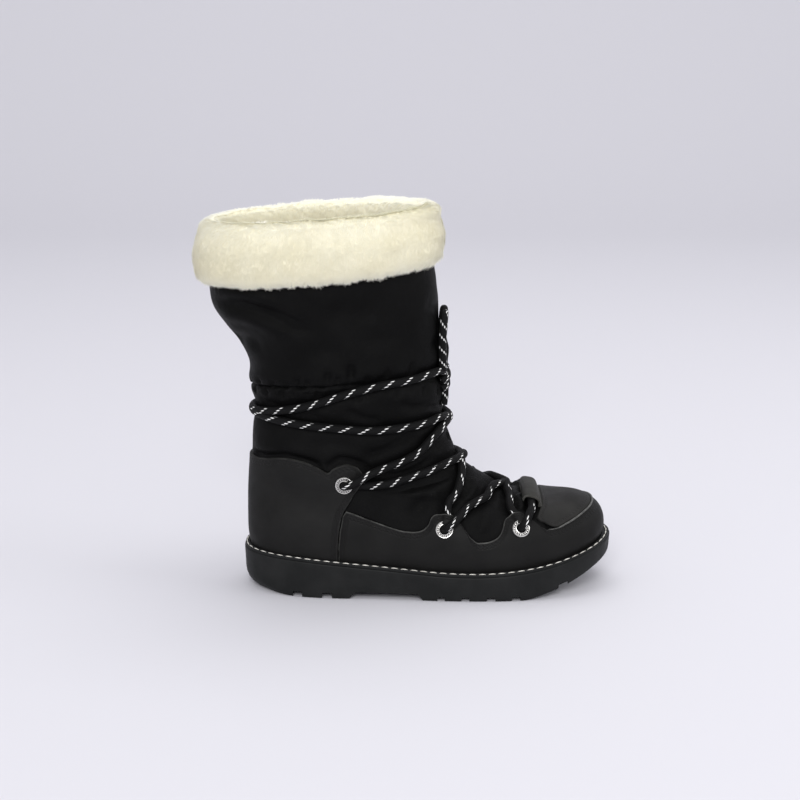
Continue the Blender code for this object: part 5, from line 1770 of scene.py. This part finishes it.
@dataclass
class Sole:
    """The rubber outsole, the welt with its stitches and the footbed."""

    last: Last
    columns: int = 260
    ledge: Table = (
        (0.0, 7.5), (0.12, 6.6), (0.25, 6.2), (0.5, 7.4), (0.75, 7.4), (0.9, 8.2), (1.0, 11.0),
    )
    # x, height of the lugs, round in, round up
    under: tuple[tuple[float, float, float, float], ...] = (
        (0.0, 0.0, 13.0, 14.0), (14.0, 0.0, 10.5, 11.0), (28.0, 0.0, 4.0, 4.6), (42.0, 0.0, 1.2, 1.6),
        (160.0, 0.0, 1.2, 1.6), (206.0, 0.0, 1.4, 1.8), (222.0, 3.0, 2.4, 2.4), (236.0, 7.4, 2.8, 2.6),
        (250.0, 13.0, 3.2, 3.0), (262.0, 18.4, 3.6, 3.4), (276.0, 24.6, 4.0, 3.6),
    )
    # start, end, roof
    grooves: tuple[tuple[float, float, float], ...] = (
        (37.3, 44.8, 4.2), (58.9, 66.9, 4.2), (143.7, 150.0, 3.0), (161.3, 168.1, 3.0),
        (179.9, 187.2, 3.0), (198.5, 205.5, 3.0),
    )
    arch: Table = ((75.0, -5.0), (138.0, -5.0), (134.0, 0.0), (129.5, 5.0), (83.0, 5.0), (79.0, 0.0))
    notch: tuple[float, float] = (233.0, 241.0)
    tread_at: tuple[float, ...] = (26.0, 52.0, 72.5, 156.0, 174.5, 193.0, 212.0)
    tread_turn: float = 0.5
    # share of the way from the upper to the sole's edge, height
    welt_section: Table = (
        (0.0, 0.0), (1.0, 0.0), (1.0, 1.3), (0.94, 1.85), (0.86, 2.05), (0.72, 1.75), (0.55, 1.45),
        (0.38, 1.7), (0.25, 2.25), (0.0, 2.5),
    )
    stitch_line: tuple[float, float] = (0.62, 1.95)  # place and height in the welt's section
    stitch_pitch: float = 7.2
    stitch_length: float = 6.0
    stitch_radius: float = 0.43
    draft: float = 0.6  # how far the side leans in on its way down

    def outline(self, inset: float, around: np.ndarray) -> np.ndarray:
        """The sole's edge seen from above, moved in by inset."""
        ring = self.last.at(around, 0.0)[:, :2]
        along = self.last.at(around + 0.01, 0.0)[:, :2] - self.last.at(around - 0.01, 0.0)[:, :2]
        outward = unit(np.stack([along[:, 1], -along[:, 0]], axis=1))
        outward = outward * np.sign((outward * (ring - ring.mean(axis=0))).sum(axis=1))[:, None]
        ledge = table_curve(self.ledge, both_sides(around))
        return ring + outward * (ledge - inset)[:, None]

    def build_outsole(self, finishes: Finishes) -> None:
        """The rubber sole with its grooves, arch and tread."""
        around = np.linspace(0, 2, self.columns + 1)
        edge = self.outline(0.0, around)
        x = np.clip(edge[:, 0], 0.0, 276.0)
        table = np.array(self.under)
        bottom, round_in, round_up = (curve_through(table[:, 0], table[:, k], x) for k in (1, 2, 3))
        bottom = np.maximum(bottom, 0.0)
        top = sole_top(edge[:, 0])
        rings = []

        def ring(inset: np.ndarray, height: np.ndarray) -> None:
            flat = self.outline(inset, around)
            rings.append(np.column_stack([flat, height]))

        for inset, drop in ((8.0, 0.0), (1.0, 0.0), (0.45, 0.15), (0.1, 0.55), (0.0, 1.1)):
            ring(inset, top - drop)
        for share in np.linspace(0.2, 1.0, 5):
            ring(self.draft * share, (top - 1.1) * (1 - share) + (bottom + round_up) * share)
        for turn in np.linspace(0, math.pi / 2, 7)[1:]:
            inset = self.draft + round_in * (1 - math.cos(turn))
            ring(inset, bottom + round_up * (1 - math.sin(turn)))
        points = np.array(rings)[::-1]
        bm = close_mesh(grid_mesh(points))
        cut_caps(bm)
        obj = bare_object("rubber_outsole", bm)
        cut_with(obj, self.groove_cutters())
        finished(obj, finishes.rubber, ("outsole",), 35)

    def bar(self, side_view: Table, half: float = 90.0, turn: float = 0.0) -> bpy.types.Object:
        """A bar across the sole, of the outline that side_view gives in x and z."""
        bm = bmesh.new()
        corners = [bm.verts.new(placed((x, -half, z))) for x, z in side_view]
        face = bm.faces.new(corners)
        grown = bmesh.ops.extrude_face_region(bm, geom=[face])
        moved = [item for item in grown["geom"] if isinstance(item, bmesh.types.BMVert)]
        bmesh.ops.translate(bm, vec=(0, 2 * half * MM, 0), verts=moved)
        bmesh.ops.recalc_face_normals(bm, faces=bm.faces)
        if turn:
            middle = Vector(placed((sum(x for x, _ in side_view) / len(side_view), 0.0, 0.0)))
            bmesh.ops.rotate(bm, cent=middle, matrix=Matrix.Rotation(turn, 3, "Z"), verts=bm.verts)
        return bare_object("bar", bm)

    def groove_cutters(self) -> list[bpy.types.Object]:
        """The bars that cut the sole's grooves, arch, toe notch and tread."""
        cutters = []
        for start, end, roof in self.grooves:
            cutters.append(self.bar(((start, -5.0), (end, -5.0), (end - 0.5, roof), (start + 0.5, roof))))
        cutters.append(self.bar(self.arch))
        table = np.array(self.under)
        (x0, x1), (z0, z1) = self.notch, curve_through(table[:, 0], table[:, 1], self.notch)
        cutters.append(self.bar(((x0, z0 - 8), (x1, z1 - 8), (x1 - 0.4, z1 + 3.2), (x0 + 0.6, z0 + 3.8))))
        for x in self.tread_at:
            for turn in (self.tread_turn, -self.tread_turn):
                cutters.append(self.bar(((x - 0.8, -2.0), (x + 0.8, -2.0), (x, 1.4)), 22.0, turn))
        return cutters

    def build_welt(self, finishes: Finishes) -> None:
        """The strip round the upper that the stitches hold."""
        around = np.linspace(0, 2, self.columns + 1)
        outer = self.outline(0.8, around)
        inner = self.last.at(around, 0.35, 3.4)[:, :2]
        rings = []
        for share, height in self.welt_section + self.welt_section[:1]:
            flat = inner + (outer - inner) * share
            z = sole_top(flat[:, 0]) + GAP + height
            rings.append(np.column_stack([flat, z]))
        points = np.array(rings)
        girth = run_of(points[1])
        lines = np.linspace(0, 1, len(rings))
        uv = np.stack(np.broadcast_arrays(girth[None, :] * MM, 0.02 + lines[:, None] * 0.01), axis=-1)
        bm = close_mesh(grid_mesh(points, uv))
        finished(bare_object("stitched_welt", bm), finishes.rubber, ("welt",), 60)
        self.build_stitches(inner, outer, finishes)

    def build_stitches(self, inner: np.ndarray, outer: np.ndarray, finishes: Finishes) -> None:
        """The off-white stitches that lie in the welt's groove."""
        share, height = self.stitch_line
        flat = inner + (outer - inner) * share
        line = np.column_stack([flat, sole_top(flat[:, 0]) + GAP + height])
        run = run_of(line)
        count = round(run[-1] / self.stitch_pitch)
        pitch = run[-1] / count
        bm = bmesh.new()
        for k in range(count):
            places = k * pitch + np.linspace(0, self.stitch_length, 9)
            points = np.stack([np.interp(places, run, line[:, n]) for n in range(3)], axis=1)
            bow = np.sin(np.linspace(0, math.pi, 9))
            points[:, 2] += 0.75 * np.sqrt(bow) - 0.6
            radius = self.stitch_radius * (0.55 + 0.45 * np.sqrt(bow))
            add_to(bm, tube_mesh(points, radius, 8, 1.0))
        finished(bare_object("welt_stitches", bm), finishes.welt_thread, (), 80)

    def build_footbed(self, finishes: Finishes) -> None:
        """The fleece footbed inside."""
        around = np.linspace(0, 2, 161)
        out = -(UPPER_WALL + 1.3)
        low = self.last.at(around, 0.0, out)
        high = self.last.at(around, 0.35, out)
        rings = []
        for share, height in ((0.0, 0.0), (0.4, 0.2), (0.9, 2.6), (1.0, 3.4)):
            flat = low + (high - low) * share
            rings.append(np.column_stack([flat[:, :2], sole_top(flat[:, 0]) + GAP + height + 0.1]))
        middle = rings[-1][:, :2].mean(axis=0)
        for share in (0.96, 0.8, 0.5, 0.25):
            flat = middle + (rings[3][:, :2] - middle) * share
            rings.append(np.column_stack([flat, sole_top(flat[:, 0]) + GAP + 3.9]))
        bm = close_mesh(grid_mesh(np.array(rings)))
        cut_caps(bm)
        finished(bare_object("fleece_footbed", bm), finishes.lining, ("insole",), 60)

    def build(self, finishes: Finishes) -> None:
        """Makes the outsole, the welt, its stitches and the footbed."""
        self.build_outsole(finishes)
        self.build_welt(finishes)
        self.build_footbed(finishes)


# The studio


@dataclass
class Studio:
    """The camera, the pale floor and the soft lights."""

    camera_at: tuple[float, float, float] = (0.06475, -1.374, 0.493)
    camera_down: float = 14.4  # degrees below the horizon
    focal_pixels: float = 1917.0
    image_pixels: float = 800.0
    sensor: float = 36.0
    aim: tuple[float, float, float] = (0.08, 0.0, 0.12)
    # name, place, size, watts
    lights: tuple[tuple[str, tuple[float, float, float], float, float], ...] = (
        ("top_light", (0.2, 0.4, 2.0), 1.5, 13.0),
        ("front_light", (-0.3, -3.6, 2.3), 1.5, 88.0),
        ("right_light", (1.9, -0.3, 1.1), 1.1, 9.0),
    )
    sky: tuple[float, float, float] = (0.965, 0.96, 1.0)
    sky_strength: float = 0.66
    floor_reach: float = 5.0
    floor_end: float = 1.6  # where the floor starts to curve up
    floor_curve: float = 1.2
    floor_top: float = 4.0

    def build_camera(self) -> None:
        """The camera at the photograph's angle."""
        data = bpy.data.cameras.new("camera")
        data.sensor_width = self.sensor
        data.lens = self.focal_pixels / self.image_pixels * self.sensor
        data.clip_end = 20.0
        camera = in_scene("camera", data)
        camera.location = self.camera_at
        camera.rotation_euler = (math.pi / 2 - math.radians(self.camera_down), 0.0, 0.0)
        bpy.context.scene.camera = camera

    def build_floor(self) -> None:
        """The floor, which curves up into a backdrop."""
        reach, curve = self.floor_reach, self.floor_curve
        section = [(-reach, 0.0)]
        for turn in np.linspace(0, math.pi / 2, 13):
            section.append((self.floor_end + curve * math.sin(turn), curve - curve * math.cos(turn)))
        section.append((self.floor_end + curve, self.floor_top))
        rows = np.array([[(x, y, z) for x in (-reach, reach)] for y, z in section]) / MM
        floor = bare_object("studio_floor", grid_mesh(rows - (HEEL_BACK, 0.0, 0.2)))
        floor.data.shade_smooth()
        floor.data.materials.append(FloorFinish().build())

    def build_light(self, name: str, place: tuple[float, float, float], size: float, watts: float) -> None:
        """A square soft light that faces the boot."""
        data = bpy.data.lights.new(name, "AREA")
        data.size = size
        data.energy = watts
        light = in_scene(name, data)
        light.location = place
        facing = Vector(self.aim) - Vector(place)
        light.rotation_euler = facing.to_track_quat("-Z", "Y").to_euler()

    def build(self) -> None:
        """Sets up the camera, the floor, the lights and the sky."""
        self.build_camera()
        self.build_floor()
        for light in self.lights:
            self.build_light(*light)
        world = bpy.data.worlds.new("studio")
        bpy.context.scene.world = world
        world.use_nodes = True
        sky = world.node_tree.nodes["Background"]
        sky.inputs["Color"].default_value = (*self.sky, 1.0)
        sky.inputs["Strength"].default_value = self.sky_strength
        bpy.context.scene.view_settings.view_transform = "Standard"


def main() -> None:
    """Builds the boot, piece by piece."""
    Studio().build()
    finishes = Finishes()
    last = Last()
    lace = Lace(last)
    lace.build_bow(finishes)
    lace.build(finishes)
    paths = lace.all_paths()
    leather = Leather(last, paths)
    leather.build(finishes)
    Eyelets(last, leather.eyelets).build(finishes)
    VampLoop(last).build(finishes)
    Upper(last, paths).build(finishes)
    Sole(last).build(finishes)
    FurCuff(last).build(finishes)


if __name__ == "__main__":
    main()
